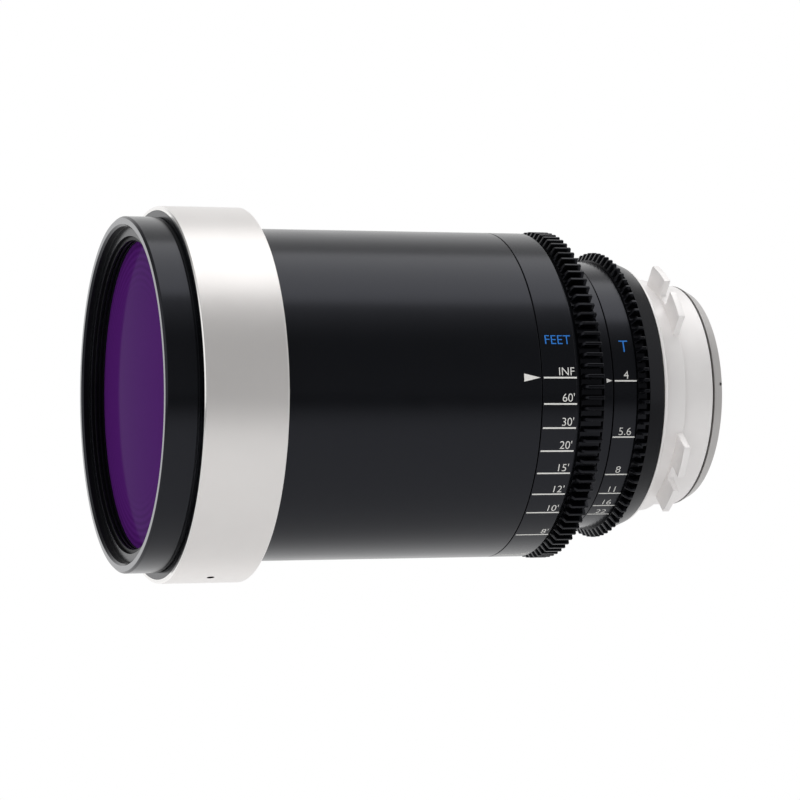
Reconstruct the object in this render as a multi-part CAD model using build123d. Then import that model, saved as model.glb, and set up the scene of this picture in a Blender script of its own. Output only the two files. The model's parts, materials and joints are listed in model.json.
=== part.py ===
from build123d import *
from math import asin, atan, cos, degrees, hypot, pi, radians, sin
import os

# A cinema prime lens with a squeeze group at the front and a four-lobe camera mount.
# The optical axis is X and +X points into the camera. The origin is the centre of the
# mount's seat. The index marks are on the -Y side. Lengths are millimetres, angles degrees.
# An azimuth is measured from the index (-Y) up towards +Z.

# Fits between pieces
slip = 0.04
run = 0.06
seam = 0.25
cut_over = 1.0

# Camera mount
mount_barrel_r = 27.0
mount_barrel_length = 7.8
mount_wall = 2.4
mount_edge = 0.3
lobe_reach = 6.7
lobe_thick = 1.6
lobe_width = 20.1
notch_width = 4.1
notch_reach = 2.3
lobe_count = 4
fore_step = 1.4
fore_length = 4.1
mount_base_step = 3.1
mount_base_thick = 1.0
mount_web_thick = 2.4
mount_web_reach = 4.8
mount_screw_count = 6
mount_screw_r = 1.0
mount_screw_head_r = 1.7
mount_screw_head = 1.5
mount_screw_bite = 2.6
mount_screw_socket_r = 0.75
shim_thick = 0.2

# Trim ring and baffle at the camera end
trim_gap = 0.5
trim_length = 2.6
trim_taper = 1.4
trim_wall = 6.5
trim_spigot = 1.6
trim_lip = 0.6
trim_hole_r = 0.4
trim_hole_deep = 0.8
trim_hole_share = 0.8
baffle_thick = 1.0
baffle_reach = 8.2

# Rear housing, the tube that carries the iris end and the mount
housing_step = 2.9
housing_wall = 2.5
housing_end_wall = 3.0
spigot_step = 1.06
spigot_length = 8.4

# Rear cone, iris ring and index band
cone_length = 4.9
cone_front_wall = 3.66
cone_over = 0.3
iris_carrier_wall = 1.5
iris_scale_step = 1.04
iris_scale_length = 5.95
iris_gear_rim = 1.5
iris_gear_width = 2.15
index_length = 4.85
index_wall = 2.86
index_neck_length = 2.4
index_neck_drop = 1.8

# Gears
gear_module = 0.8
gear_bevel = 1.0
tooth_top = 0.62
tooth_foot = 1.75
tooth_deep_share = 2.25

# Focus ring and cam tube
inner_wall = 2.0
cam_wall = 1.94
carrier_wall = 1.96
focus_gear_rim = 0.76
focus_gear_width = 5.1
focus_scale_length = 8.5
focus_groove = 1.7
barrel_clear = 0.2
barrel_wall = 2.0
focus_lip_thick = 1.5
cam_lock_thick = 1.45
cam_lock_inset = 0.3
cam_lock_wall = 3.1
focus_throw = 144.0
focus_travel = 12.0
follower_count = 3
follower_azimuth = 60.0
follower_r = 1.75
follower_stud_r = 1.0
drive_screw_r = 0.8
drive_screw_azimuth = 20.0
drive_screw_inset = 1.6
drive_screw_count = 3

# Guide tube and ledge in the main barrel
guide_spare = 5.95
guide_flange_thick = 3.5
ledge_thick = 2.0
ledge_reach = 3.6
flange_screw_count = 4
flange_screw_r = 0.8
flange_screw_head_r = 1.4
flange_screw_head = 1.3
flange_screw_bite = 1.2
flange_screw_margin = 0.36
housing_screw_r = 0.9
housing_screw_inset = 3.2
housing_screw_count = 3

# Main barrel, band and front housing
barrel_spare = 5.55
flange_step = 1.9
flange_length = 9.55
flange_start = 2.4
front_spigot_length = 4.3
front_spigot_wall = 2.3
band_length = 19.55
band_wall = 2.96
band_chamfer = 0.35
band_screw_r = 0.9
band_screw_inset = 2.3
band_screw_azimuth = 281.4
band_screw_sink = 0.9
band_screw_bite = 0.8
front_rim_chamfer = 0.5
front_step = 0.47
front_wall = 3.17
filter_thread_length = 2.8
filter_mouth = 0.4
trap_step_count = 4
trap_step_length = 0.8
trap_step_height = 0.2
trap_drop = 0.6
front_shoulder = 0.4
front_glass_step = 0.15
front_glass_edge = 3.0
front_glass_bulge = 2.6
front_glass_hollow = 1.4
front_lock_thick = 2.0
front_lock_play = 0.1

# Squeeze cell
squeeze_cell_wall = 2.6
squeeze_lip = 2.0
squeeze_lip_wall = 2.6
squeeze_front_edge = 6.5
squeeze_rear_edge = 7.0
squeeze_front_sag = 4.6
squeeze_rear_sag = 5.2
squeeze_spacer_length = 5.0
squeeze_lock = 1.5
squeeze_spacer_wall = 1.4
cell_lock_thick = 2.0
cell_lock_wall = 2.2
index_pin_r = 0.8
index_pin_bite = 1.2

# Focus cell
focus_cell_room = 14.3
focus_cell_wall = 2.7
focus_land = 1.5
focus_front_edge = 6.0
focus_rear_edge = 5.0
focus_lens_bulge = 2.4
focus_front_hollow = 0.8
focus_rear_bulge = 1.2
focus_lock = 1.5
focus_spacer_length = 8.0

# Middle cell
middle_flange_thick = 2.0
middle_wall = 2.8
middle_land = 1.5
middle_front_edge = 4.6
middle_rear_edge = 3.6
middle_bulge = 1.6
middle_rear_hollow = 0.8
middle_rear_bulge = 0.8
middle_lock = 1.4

# Iris
blade_count = 10
blade_room_step = 2.8
blade_room_play = 1.0
blade_tab = 1.3
blade_open_step = 8.1
blade_mid_step = 1.7
blade_tip_width = 1.2
blade_tip_angle = 88.0
blade_mid_angle = 50.0
blade_tab_angle = 4.0
blade_thick = 0.06
blade_tilt_share = 0.1
blade_drive_step = 2.8
blade_drive_angle = 17.0
blade_pin_r = 0.4
pivot_pin_r = 0.5
iris_throw = 68.0
blade_throw_per_turn = 0.4475
iris_base_thick = 1.45
iris_flange_thick = 2.35
iris_hub_bore_step = 0.8
iris_hub_step = 1.7
iris_play = 0.1
iris_pin_r = 0.8
iris_pin_inset = 2.75
iris_pin_bite = 1.6
iris_pin_reach = 2.4
iris_pin_azimuth = 150.0
slot_spare = 1.0
slot_steps = 12

# Rear cell
rear_cell_inset = 0.3
rear_cell_gap = 0.2
rear_cell_wall = 2.3
rear_land = 1.2
rear_front_edge = 4.2
rear_glass_edge = 4.6
rear_bulge = 1.3
rear_end_bulge = 0.65
rear_lock = 1.3

# Stations along the axis, from the seat forwards
lobe_front_x = -lobe_thick
fore_front_x = lobe_front_x - fore_length
mount_front_x = fore_front_x - mount_base_thick
shim_front_x = mount_front_x - shim_thick
cone_front_x = shim_front_x - cone_length
iris_rear_x = cone_front_x - seam
iris_gear_front_x = iris_rear_x - iris_gear_width
iris_front_x = iris_gear_front_x - iris_scale_length
index_rear_x = iris_front_x - seam
index_front_x = index_rear_x - index_length
focus_rear_x = index_front_x - seam
focus_gear_front_x = focus_rear_x - focus_gear_width
focus_scale_rear_x = focus_gear_front_x - focus_groove
focus_front_x = focus_scale_rear_x - focus_scale_length
barrel_rear_x = focus_front_x - seam
housing_front_x = index_front_x - spigot_length
middle_front_x = housing_front_x - middle_flange_thick
focus_cell_rear_x = middle_front_x - focus_cell_room
focus_glass_rear_x = focus_cell_rear_x - focus_land
focus_spacer_rear_x = focus_glass_rear_x - focus_rear_edge
focus_spacer_front_x = focus_spacer_rear_x - focus_spacer_length
focus_glass_front_x = focus_spacer_front_x - focus_front_edge
focus_cell_front_x = focus_glass_front_x - focus_lock
guide_front_x = focus_cell_front_x - focus_travel - guide_spare
ledge_x = guide_front_x - ledge_thick
squeeze_seat_x = ledge_x - squeeze_lip
squeeze_spacer_rear_x = squeeze_seat_x - squeeze_rear_edge
squeeze_spacer_front_x = squeeze_spacer_rear_x - squeeze_spacer_length
squeeze_glass_x = squeeze_spacer_front_x - squeeze_front_edge
squeeze_front_x = squeeze_glass_x - squeeze_lock
barrel_front_x = squeeze_front_x - barrel_spare
flange_front_x = barrel_front_x + front_spigot_length
flange_rear_x = flange_front_x + flange_length
band_rear_x = flange_rear_x + flange_start
band_front_x = band_rear_x - band_length
glass_rear_x = barrel_front_x - front_lock_play - front_lock_thick
glass_seat_x = glass_rear_x - front_glass_edge
trap_rear_x = glass_seat_x - front_shoulder
thread_rear_x = trap_rear_x - trap_step_count * trap_step_length
front_x = thread_rear_x - filter_thread_length

# Radii, from the mount's rear barrel outwards
housing_r = mount_barrel_r + housing_step
housing_bore_r = housing_r - housing_wall
spigot_r = housing_r + spigot_step
inner_bore_r = spigot_r + slip
inner_r = inner_bore_r + inner_wall
cam_bore_r = inner_r + run
cam_r = cam_bore_r + cam_wall
ring_bore_r = cam_r + slip
carrier_r = ring_bore_r + carrier_wall
barrel_bore_r = carrier_r + barrel_clear
barrel_r = barrel_bore_r + barrel_wall
flange_r = barrel_r + flange_step
band_bore_r = flange_r + slip
band_r = band_bore_r + band_wall
front_r = flange_r + front_step
filter_thread_r = front_r - front_wall
iris_bore_r = housing_r + run
iris_carrier_r = iris_bore_r + iris_carrier_wall
iris_scale_r = iris_carrier_r + iris_scale_step
mount_bore_r = mount_barrel_r - mount_wall
rear_bore_r = mount_bore_r - mount_web_reach
fore_r = mount_barrel_r + fore_step
mount_base_r = fore_r + mount_base_step

solids = {}


def spread(start, count):
    """Azimuths of a pattern that goes evenly round the axis."""
    return [start + 360 / count * place for place in range(count)]


def turned(*points):
    """A solid of revolution about the optical axis, from (x, radius) points."""
    outline = Polyline(*points, close=True)
    return revolve(make_face(outline), Axis.X, 360)


def tube(x0, x1, outer, inner):
    return turned((x0, inner), (x0, outer), (x1, outer), (x1, inner))


def disc(x0, x1, radius):
    return turned((x0, 0), (x0, radius), (x1, radius), (x1, 0))


def axial_rod(x0, x1, radius, circle_r, azimuth):
    """A round rod parallel to the axis, on a circle of radius circle_r."""
    y = -circle_r * cos(radians(azimuth))
    z = circle_r * sin(radians(azimuth))
    rod = Rotation(0, 90, 0) * Cylinder(radius, abs(x1 - x0))
    return Pos((x0 + x1) / 2, y, z) * rod


def radial_rod(x, azimuth, inner, outer, radius):
    """A round rod that points away from the axis."""
    rod = Pos(x, 0, (inner + outer) / 2) * Cylinder(radius, outer - inner)
    return Rotation(90 - azimuth, 0, 0) * rod


def arc_of_bulge(x, radius, bulge):
    """The edge of a dished face, from the axis at x + bulge out to x at the rim."""
    curve_r = (radius * radius + bulge * bulge) / (2 * abs(bulge))
    half = asin(radius / curve_r) / 2
    side = 1 if bulge > 0 else -1
    middle = (x + bulge - side * curve_r * (1 - cos(half)), curve_r * sin(half))
    return ThreePointArc((x + bulge, 0), middle, (x, radius))


def round_lens(x0, x1, radius, clear_r, front_bulge, rear_bulge):
    """A glass with dished faces inside clear_r and flat lands outside it for its seats.

    A bulge is positive where the face swells outwards.
    """
    front = arc_of_bulge(x0, clear_r, -front_bulge)
    rear = arc_of_bulge(x1, clear_r, rear_bulge)
    rim = Polyline((x0, clear_r), (x0, radius), (x1, radius), (x1, clear_r))
    axis = Line((x1 + rear_bulge, 0), (x0 - front_bulge, 0))
    return revolve(make_face(front + rim + rear + axis), Axis.X, 360)


def squeeze_lens(x0, x1, radius, sag, side):
    """A round-edged glass with one face curved about Z only; side is -1 for the front face."""
    body = disc(x0, x1, radius)
    face_x = x0 if side < 0 else x1
    curve_r = (radius * radius + sag * sag) / (2 * sag)
    centre_x = face_x + side * (curve_r - sag)
    return body - Pos(centre_x, 0, 0) * Cylinder(curve_r, radius * 2 + cut_over)


def gear_ring(x0, x1, teeth, bore_r):
    """A drive gear with its front tooth ends bevelled."""
    tip_r = gear_module * (teeth + 2) / 2
    root_r = tip_r - gear_module * tooth_deep_share
    points = []
    for tooth in range(teeth):
        middle = 2 * pi * tooth / teeth
        half_foot = tooth_foot / 2 / root_r
        half_top = tooth_top / 2 / tip_r
        for radius, turn in (
            (root_r, -half_foot),
            (tip_r, -half_top),
            (tip_r, half_top),
            (root_r, half_foot),
        ):
            angle = middle + turn
            points.append((radius * cos(angle), radius * sin(angle)))
    outline = make_face(Polyline(*points, close=True)) - Circle(bore_r)
    blank = Pos(x0, 0, 0) * extrude(Plane.YZ * outline, x1 - x0)
    bevel_height = tip_r - root_r
    limit = turned(
        (x0, 0),
        (x0, root_r),
        (x0 + gear_bevel, tip_r),
        (x0 + gear_bevel, tip_r + bevel_height),
        (x1, tip_r + bevel_height),
        (x1, 0),
    )
    return blank & limit


def teeth_for(root_r):
    """How many teeth of the gear's module leave at least this root radius."""
    return round(2 * root_r / gear_module + 2 * tooth_deep_share - 2)


# Camera mount
lobe_r = mount_barrel_r + lobe_reach
notch_floor_r = mount_barrel_r + notch_reach
web_rear_x = mount_front_x + mount_web_thick
baffle_seat_x = mount_barrel_length - trim_spigot - baffle_thick
trim_socket_r = mount_bore_r + trim_lip
mount_screw_circle_r = (rear_bore_r + mount_bore_r) / 2
camera_mount = turned(
    (mount_front_x, rear_bore_r),
    (mount_front_x, mount_base_r),
    (mount_front_x + mount_base_thick / 2, mount_base_r),
    (fore_front_x, mount_base_r - mount_base_thick / 2),
    (fore_front_x, fore_r),
    (0, fore_r),
    (0, mount_barrel_r),
    (mount_barrel_length - mount_edge, mount_barrel_r),
    (mount_barrel_length, mount_barrel_r - mount_edge),
    (mount_barrel_length, trim_socket_r),
    (baffle_seat_x, trim_socket_r),
    (baffle_seat_x, mount_bore_r),
    (web_rear_x, mount_bore_r),
    (web_rear_x, rear_bore_r),
)
lobe_disc = tube(lobe_front_x, 0, lobe_r, fore_r - cut_over)
for azimuth in spread(180 / lobe_count, lobe_count):
    reach = Pos(lobe_front_x / 2, 0, lobe_r) * Box(lobe_thick, lobe_width, lobe_r * 2)
    notch_length = lobe_r - notch_floor_r + cut_over
    notch_middle = notch_floor_r + notch_length / 2
    notch = Pos(lobe_front_x / 2, 0, notch_middle) * Box(
        lobe_thick + cut_over, notch_width, notch_length
    )
    blade = (Rotation(90 - azimuth, 0, 0) * reach) & lobe_disc
    camera_mount += blade - Rotation(90 - azimuth, 0, 0) * notch
mount_screw_azimuths = spread(180 / mount_screw_count, mount_screw_count)
for azimuth in mount_screw_azimuths:
    camera_mount -= axial_rod(
        mount_front_x - cut_over,
        web_rear_x + cut_over,
        mount_screw_r + slip,
        mount_screw_circle_r,
        azimuth,
    )
solids["camera_mount"] = camera_mount

# Screws inside the mount, through web and shim into the housing
screw_tip_x = shim_front_x - mount_screw_bite
mount_screws = []
for azimuth in mount_screw_azimuths:
    shank = axial_rod(
        screw_tip_x, web_rear_x, mount_screw_r, mount_screw_circle_r, azimuth
    )
    head = axial_rod(
        web_rear_x,
        web_rear_x + mount_screw_head,
        mount_screw_head_r,
        mount_screw_circle_r,
        azimuth,
    )
    socket = axial_rod(
        web_rear_x + mount_screw_head / 2,
        web_rear_x + mount_screw_head + cut_over,
        mount_screw_socket_r,
        mount_screw_circle_r,
        azimuth,
    )
    mount_screws.append(shank + head - socket)
solids["mount_screws"] = Compound(mount_screws)

mount_shim = tube(shim_front_x, mount_front_x, mount_base_r - mount_edge, rear_bore_r)
for azimuth in mount_screw_azimuths:
    mount_shim -= axial_rod(
        shim_front_x - cut_over,
        mount_front_x + cut_over,
        mount_screw_r + slip,
        mount_screw_circle_r,
        azimuth,
    )
solids["mount_shim"] = mount_shim

# Trim ring and baffle at the camera end
trim_front_x = mount_barrel_length + trim_gap
trim_rear_x = trim_front_x + trim_length
trim_thread_r = trim_socket_r - slip
trim_end_r = mount_barrel_r - trim_taper
trim_bore_r = mount_barrel_r - trim_wall
rear_trim_ring = turned(
    (mount_barrel_length - trim_spigot, trim_bore_r),
    (mount_barrel_length - trim_spigot, trim_thread_r),
    (trim_front_x, trim_thread_r),
    (trim_front_x, mount_barrel_r - mount_edge),
    (trim_front_x + mount_edge, mount_barrel_r),
    (trim_rear_x, trim_end_r),
    (trim_rear_x, trim_bore_r),
)
trim_hole_x = trim_front_x + trim_length * trim_hole_share
for azimuth in (0, 180):
    rear_trim_ring -= radial_rod(
        trim_hole_x,
        azimuth,
        trim_end_r - trim_hole_deep,
        mount_barrel_r + cut_over,
        trim_hole_r,
    )
solids["rear_trim_ring"] = rear_trim_ring
solids["rear_baffle"] = tube(
    baffle_seat_x,
    baffle_seat_x + baffle_thick,
    trim_thread_r,
    trim_socket_r - baffle_reach,
)

# Rear housing
housing_rear_x = shim_front_x
end_wall_x = housing_rear_x - housing_end_wall
iris_pin_x = iris_front_x + iris_pin_inset
iris_flange_rear_x = iris_pin_x + iris_flange_thick / 2
iris_flange_front_x = iris_flange_rear_x - iris_flange_thick
iris_base_rear_x = iris_flange_rear_x + run + iris_base_thick
blade_room_r = housing_bore_r - blade_room_step
blade_pivot_r = blade_room_r - blade_room_play - blade_tab
blade_open_r = blade_pivot_r - blade_open_step
blade_mid_r = blade_pivot_r - blade_mid_step
blade_drive_r = blade_pivot_r - blade_drive_step
iris_hub_r = blade_pivot_r - iris_hub_step
iris_hub_bore_r = blade_open_r + iris_hub_bore_step
rear_housing = turned(
    (housing_front_x, housing_bore_r),
    (housing_front_x, spigot_r),
    (index_front_x, spigot_r),
    (index_front_x, housing_r),
    (housing_rear_x, housing_r),
    (housing_rear_x, rear_bore_r),
    (end_wall_x, rear_bore_r),
    (end_wall_x, blade_room_r),
    (iris_base_rear_x, blade_room_r),
    (iris_base_rear_x, housing_bore_r),
)
slot_half_angle = degrees((iris_pin_r + run) / housing_bore_r) + slot_spare
slot_start = iris_pin_azimuth - slot_half_angle
slot_turn = iris_throw + 2 * slot_half_angle
slot_width = 2 * (iris_pin_r + run)
slot_face = Pos(iris_pin_x, (housing_bore_r + housing_r) / 2) * Rectangle(
    slot_width, housing_wall + cut_over
)
pin_slot = Rotation(180 - slot_start, 0, 0) * revolve(slot_face, Axis.X, -slot_turn)
rear_housing -= pin_slot
for azimuth in mount_screw_azimuths:
    rear_housing -= axial_rod(
        screw_tip_x,
        housing_rear_x + cut_over,
        mount_screw_r + slip,
        mount_screw_circle_r,
        azimuth,
    )
housing_screw_x = index_front_x - housing_screw_inset
housing_screw_azimuths = spread(follower_azimuth, housing_screw_count)
for azimuth in housing_screw_azimuths:
    rear_housing -= radial_rod(
        housing_screw_x,
        azimuth,
        housing_bore_r - cut_over,
        spigot_r + cut_over,
        housing_screw_r + slip,
    )
solids["rear_housing"] = rear_housing

# Rear cone, index band
solids["rear_cone"] = turned(
    (cone_front_x, housing_r + slip),
    (cone_front_x, housing_r + slip + cone_front_wall),
    (shim_front_x, mount_base_r + cone_over),
    (shim_front_x, housing_r + slip),
)
index_r = housing_r + slip + index_wall
solids["index_band"] = turned(
    (index_front_x, housing_r + slip),
    (index_front_x, index_r - index_neck_drop),
    (index_front_x + index_neck_length, index_r - index_neck_drop),
    (index_front_x + index_neck_length, index_r),
    (index_rear_x, index_r),
    (index_rear_x, housing_r + slip),
)

# Iris ring, gear and drive pin
iris_ring = turned(
    (iris_front_x, iris_bore_r),
    (iris_front_x, iris_scale_r),
    (iris_gear_front_x, iris_scale_r),
    (iris_gear_front_x, iris_carrier_r),
    (iris_rear_x, iris_carrier_r),
    (iris_rear_x, iris_bore_r),
)
iris_pin_outer_r = iris_scale_r - iris_pin_bite / 2
iris_ring -= radial_rod(
    iris_pin_x,
    iris_pin_azimuth,
    iris_bore_r - cut_over,
    iris_pin_outer_r,
    iris_pin_r + slip,
)
solids["iris_ring"] = iris_ring
iris_gear_bore_r = iris_carrier_r + slip
iris_teeth = teeth_for(iris_gear_bore_r + iris_gear_rim)
solids["iris_gear"] = gear_ring(
    iris_gear_front_x, iris_rear_x, iris_teeth, iris_gear_bore_r
)
iris_flange_r = housing_bore_r - run
iris_pin_inner_r = iris_flange_r - iris_pin_reach
solids["iris_drive_pin"] = radial_rod(
    iris_pin_x, iris_pin_azimuth, iris_pin_inner_r, iris_pin_outer_r, iris_pin_r
)

# Iris blades: thin leaves, each tilted a little so that it lies over the one before it
blade_step = 360 / blade_count
blade_x = iris_base_rear_x + iris_play + blade_thick
blade_x += blade_tilt_share * (blade_pivot_r + blade_tab)
blade_throw = iris_throw * blade_throw_per_turn
pin_end_x = iris_flange_rear_x + run + iris_play


def on_circle(radius, angle):
    return (radius * cos(radians(angle)), radius * sin(radians(angle)))


def leaf_height(point):
    """How far the tilted leaf stands from its middle plane at a (y, z) point."""
    along = point[1] * cos(radians(blade_mid_angle)) - point[0] * sin(
        radians(blade_mid_angle)
    )
    return along * blade_tilt_share


def iris_leaf():
    inner_start = on_circle(blade_open_r, -blade_tab_angle)
    inner_end = on_circle(blade_open_r, blade_tip_angle)
    inner_middle = on_circle(blade_open_r, (blade_tip_angle - blade_tab_angle) / 2)
    tip = on_circle(blade_open_r + blade_tip_width, blade_tip_angle)
    back = on_circle(blade_mid_r, blade_mid_angle)
    tab_end = on_circle(blade_pivot_r + blade_tab, blade_tab_angle)
    tab_start = on_circle(blade_pivot_r + blade_tab, -blade_tab_angle)
    edge = ThreePointArc(inner_start, inner_middle, inner_end) + Line(inner_end, tip)
    edge += ThreePointArc(tip, back, tab_end) + Line(tab_end, tab_start)
    edge += Line(tab_start, inner_start)
    leaf = extrude(Plane.YZ * make_face(edge), blade_thick)
    hinge_line = Axis(
        (0, 0, 0), (0, cos(radians(blade_mid_angle)), sin(radians(blade_mid_angle)))
    )
    leaf = Pos(blade_x, 0, 0) * leaf.rotate(hinge_line, degrees(atan(blade_tilt_share)))
    for radius, angle, pin_r in (
        (blade_pivot_r, 0, pivot_pin_r),
        (blade_drive_r, blade_drive_angle, blade_pin_r),
    ):
        y, z = on_circle(radius, angle)
        top_x = blade_x + leaf_height((y, z)) + blade_thick / 2
        rod = Rotation(0, 90, 0) * Cylinder(pin_r, top_x - pin_end_x)
        leaf += Pos((pin_end_x + top_x) / 2, y, z) * rod
    return leaf


first_leaf = iris_leaf()
for blade in range(blade_count):
    name = f"iris_blade_{blade + 1:02d}"
    solids[name] = Rotation(blade_step * blade, 0, 0) * first_leaf

# Iris base ring with the pivot holes, inside the housing
iris_base_ring = tube(
    iris_flange_rear_x + run,
    iris_base_rear_x,
    housing_bore_r - slip,
    iris_hub_r + run,
)
for blade in range(blade_count):
    y, z = on_circle(blade_pivot_r, blade_step * blade)
    hole = Rotation(0, 90, 0) * Cylinder(pivot_pin_r + run, iris_base_thick + cut_over)
    iris_base_ring -= Pos(iris_base_rear_x - iris_base_thick / 2, y, z) * hole
solids["iris_base_ring"] = iris_base_ring


# Iris cam ring: each slot follows its blade's drive pin as ring and blade turn
def drive_pin_in_ring(share):
    """Where the first blade's drive pin lies on the cam ring, at a share of the throw."""
    swing = radians(blade_throw * share)
    y, z = on_circle(blade_drive_r, blade_drive_angle)
    dy = y - blade_pivot_r
    turned_y = blade_pivot_r + dy * cos(swing) - z * sin(swing)
    turned_z = dy * sin(swing) + z * cos(swing)
    back = radians(iris_throw * share)
    return (
        turned_y * cos(back) - turned_z * sin(back),
        turned_y * sin(back) + turned_z * cos(back),
    )


def cam_slot():
    half = blade_pin_r + run
    path = [drive_pin_in_ring(step / slot_steps) for step in range(slot_steps + 1)]
    outer_side = []
    inner_side = []
    for y, z in path:
        radius = hypot(y, z)
        outer_side.append((y * (radius + half) / radius, z * (radius + half) / radius))
        inner_side.append((y * (radius - half) / radius, z * (radius - half) / radius))
    sides = Spline(*outer_side) + Line(outer_side[-1], inner_side[-1])
    sides += Spline(*reversed(inner_side)) + Line(inner_side[0], outer_side[0])
    slot = make_face(sides)
    for y, z in (path[0], path[-1]):
        slot += Pos(y, z) * Circle(half)
    return slot


iris_cam_ring = turned(
    (iris_flange_front_x, iris_hub_bore_r),
    (iris_flange_front_x, iris_flange_r),
    (iris_flange_rear_x, iris_flange_r),
    (iris_flange_rear_x, iris_hub_r),
    (iris_base_rear_x, iris_hub_r),
    (iris_base_rear_x, iris_hub_bore_r),
)
slot_cut = extrude(Plane.YZ * cam_slot(), iris_base_thick + cut_over)
for blade in range(blade_count):
    iris_cam_ring -= (
        Rotation(blade_step * blade, 0, 0)
        * Pos(iris_flange_rear_x + run, 0, 0)
        * slot_cut
    )
iris_cam_ring -= radial_rod(
    iris_pin_x,
    iris_pin_azimuth,
    iris_pin_inner_r,
    iris_flange_r + cut_over,
    iris_pin_r + slip,
)
solids["iris_cam_ring"] = iris_cam_ring

# Middle cell, ahead of the iris
middle_rear_x = iris_flange_front_x - iris_play
middle_r = housing_bore_r - slip
middle_bore_r = middle_r - middle_wall
middle_glass_r = middle_bore_r - slip
middle_clear_r = middle_glass_r - middle_land
solids["middle_cell"] = turned(
    (middle_front_x, middle_bore_r),
    (middle_front_x, spigot_r),
    (housing_front_x, spigot_r),
    (housing_front_x, middle_r),
    (middle_rear_x, middle_r),
    (middle_rear_x, middle_bore_r - middle_land),
    (middle_rear_x - middle_land, middle_bore_r - middle_land),
    (middle_rear_x - middle_land, middle_bore_r),
)
middle_glass_front_x = middle_front_x + middle_lock
middle_glass_rear_x = middle_rear_x - middle_land
solids["middle_retaining_ring"] = tube(
    middle_front_x, middle_glass_front_x, middle_glass_r, middle_clear_r
)
solids["middle_front_element"] = round_lens(
    middle_glass_front_x,
    middle_glass_front_x + middle_front_edge,
    middle_glass_r,
    middle_clear_r,
    middle_bulge,
    middle_bulge,
)
solids["middle_spacer"] = tube(
    middle_glass_front_x + middle_front_edge,
    middle_glass_rear_x - middle_rear_edge,
    middle_glass_r,
    middle_clear_r,
)
solids["middle_rear_element"] = round_lens(
    middle_glass_rear_x - middle_rear_edge,
    middle_glass_rear_x,
    middle_glass_r,
    middle_clear_r,
    -middle_rear_hollow,
    middle_rear_bulge,
)

# Rear cell, through the housing's end wall and the mount's web
rear_cell_front_x = end_wall_x + rear_cell_inset
rear_glass_front_x = rear_cell_front_x + rear_land
rear_spacer_front_x = rear_glass_front_x + rear_front_edge
rear_cell_rear_x = baffle_seat_x - rear_cell_gap
rear_glass_rear_x = rear_cell_rear_x - rear_lock
rear_spacer_rear_x = rear_glass_rear_x - rear_glass_edge
rear_cell_r = rear_bore_r - slip
rear_cell_bore_r = rear_cell_r - rear_cell_wall
rear_glass_r = rear_cell_bore_r - slip
rear_clear_r = rear_glass_r - rear_land
solids["rear_cell"] = turned(
    (rear_cell_front_x, rear_cell_bore_r - rear_land),
    (rear_cell_front_x, rear_cell_r),
    (rear_cell_rear_x, rear_cell_r),
    (rear_cell_rear_x, rear_cell_bore_r),
    (rear_glass_front_x, rear_cell_bore_r),
    (rear_glass_front_x, rear_cell_bore_r - rear_land),
)
solids["rear_front_element"] = round_lens(
    rear_glass_front_x,
    rear_spacer_front_x,
    rear_glass_r,
    rear_clear_r,
    rear_bulge,
    -rear_bulge,
)
solids["rear_element"] = round_lens(
    rear_spacer_rear_x,
    rear_glass_rear_x,
    rear_glass_r,
    rear_clear_r,
    -rear_bulge,
    rear_end_bulge,
)
solids["rear_spacer"] = tube(
    rear_spacer_front_x, rear_spacer_rear_x, rear_glass_r, rear_clear_r
)
solids["rear_retaining_ring"] = tube(
    rear_glass_rear_x, rear_cell_rear_x, rear_glass_r, rear_clear_r
)

# Guide tube with three straight slots
guide_rear_x = focus_rear_x
guide_flange_rear_x = guide_front_x + guide_flange_thick
guide_flange_r = barrel_bore_r - slip
follower_x = (focus_cell_front_x + focus_cell_rear_x) / 2
flange_screw_circle_r = guide_flange_r - flange_screw_head_r - flange_screw_margin
inner_barrel = turned(
    (guide_front_x, inner_bore_r),
    (guide_front_x, guide_flange_r),
    (guide_flange_rear_x, guide_flange_r),
    (guide_flange_rear_x, inner_r),
    (guide_rear_x, inner_r),
    (guide_rear_x, inner_bore_r),
)
slot_r = follower_r + run
follower_azimuths = spread(follower_azimuth, follower_count)
for azimuth in follower_azimuths:
    slot = Pos(follower_x - focus_travel / 2, 0, inner_r) * Box(
        focus_travel, 2 * slot_r, 2 * inner_wall + cut_over
    )
    inner_barrel -= Rotation(90 - azimuth, 0, 0) * slot
    for x in (follower_x, follower_x - focus_travel):
        inner_barrel -= radial_rod(
            x, azimuth, inner_bore_r - cut_over, inner_r + cut_over, slot_r
        )
flange_screws = []
flange_screw_azimuths = spread(0, flange_screw_count)
for azimuth in flange_screw_azimuths:
    shank = axial_rod(
        guide_front_x - flange_screw_bite,
        guide_flange_rear_x - flange_screw_head,
        flange_screw_r,
        flange_screw_circle_r,
        azimuth,
    )
    head = axial_rod(
        guide_flange_rear_x - flange_screw_head,
        guide_flange_rear_x,
        flange_screw_head_r,
        flange_screw_circle_r,
        azimuth,
    )
    shank_hole = axial_rod(
        guide_front_x - cut_over,
        guide_flange_rear_x,
        flange_screw_r + slip,
        flange_screw_circle_r,
        azimuth,
    )
    head_hole = axial_rod(
        guide_flange_rear_x - flange_screw_head,
        guide_flange_rear_x + cut_over,
        flange_screw_head_r + slip,
        flange_screw_circle_r,
        azimuth,
    )
    inner_barrel = inner_barrel - shank_hole - head_hole
    flange_screws.append(shank + head)
for azimuth in housing_screw_azimuths:
    inner_barrel -= radial_rod(
        housing_screw_x,
        azimuth,
        inner_bore_r - cut_over,
        inner_r + cut_over,
        housing_screw_r + slip,
    )
solids["inner_barrel"] = inner_barrel
solids["inner_barrel_screws"] = Compound(flange_screws)
solids["housing_screws"] = Compound(
    [
        radial_rod(
            housing_screw_x,
            azimuth,
            housing_bore_r + slip,
            inner_r - slip,
            housing_screw_r,
        )
        for azimuth in housing_screw_azimuths
    ]
)

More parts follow.
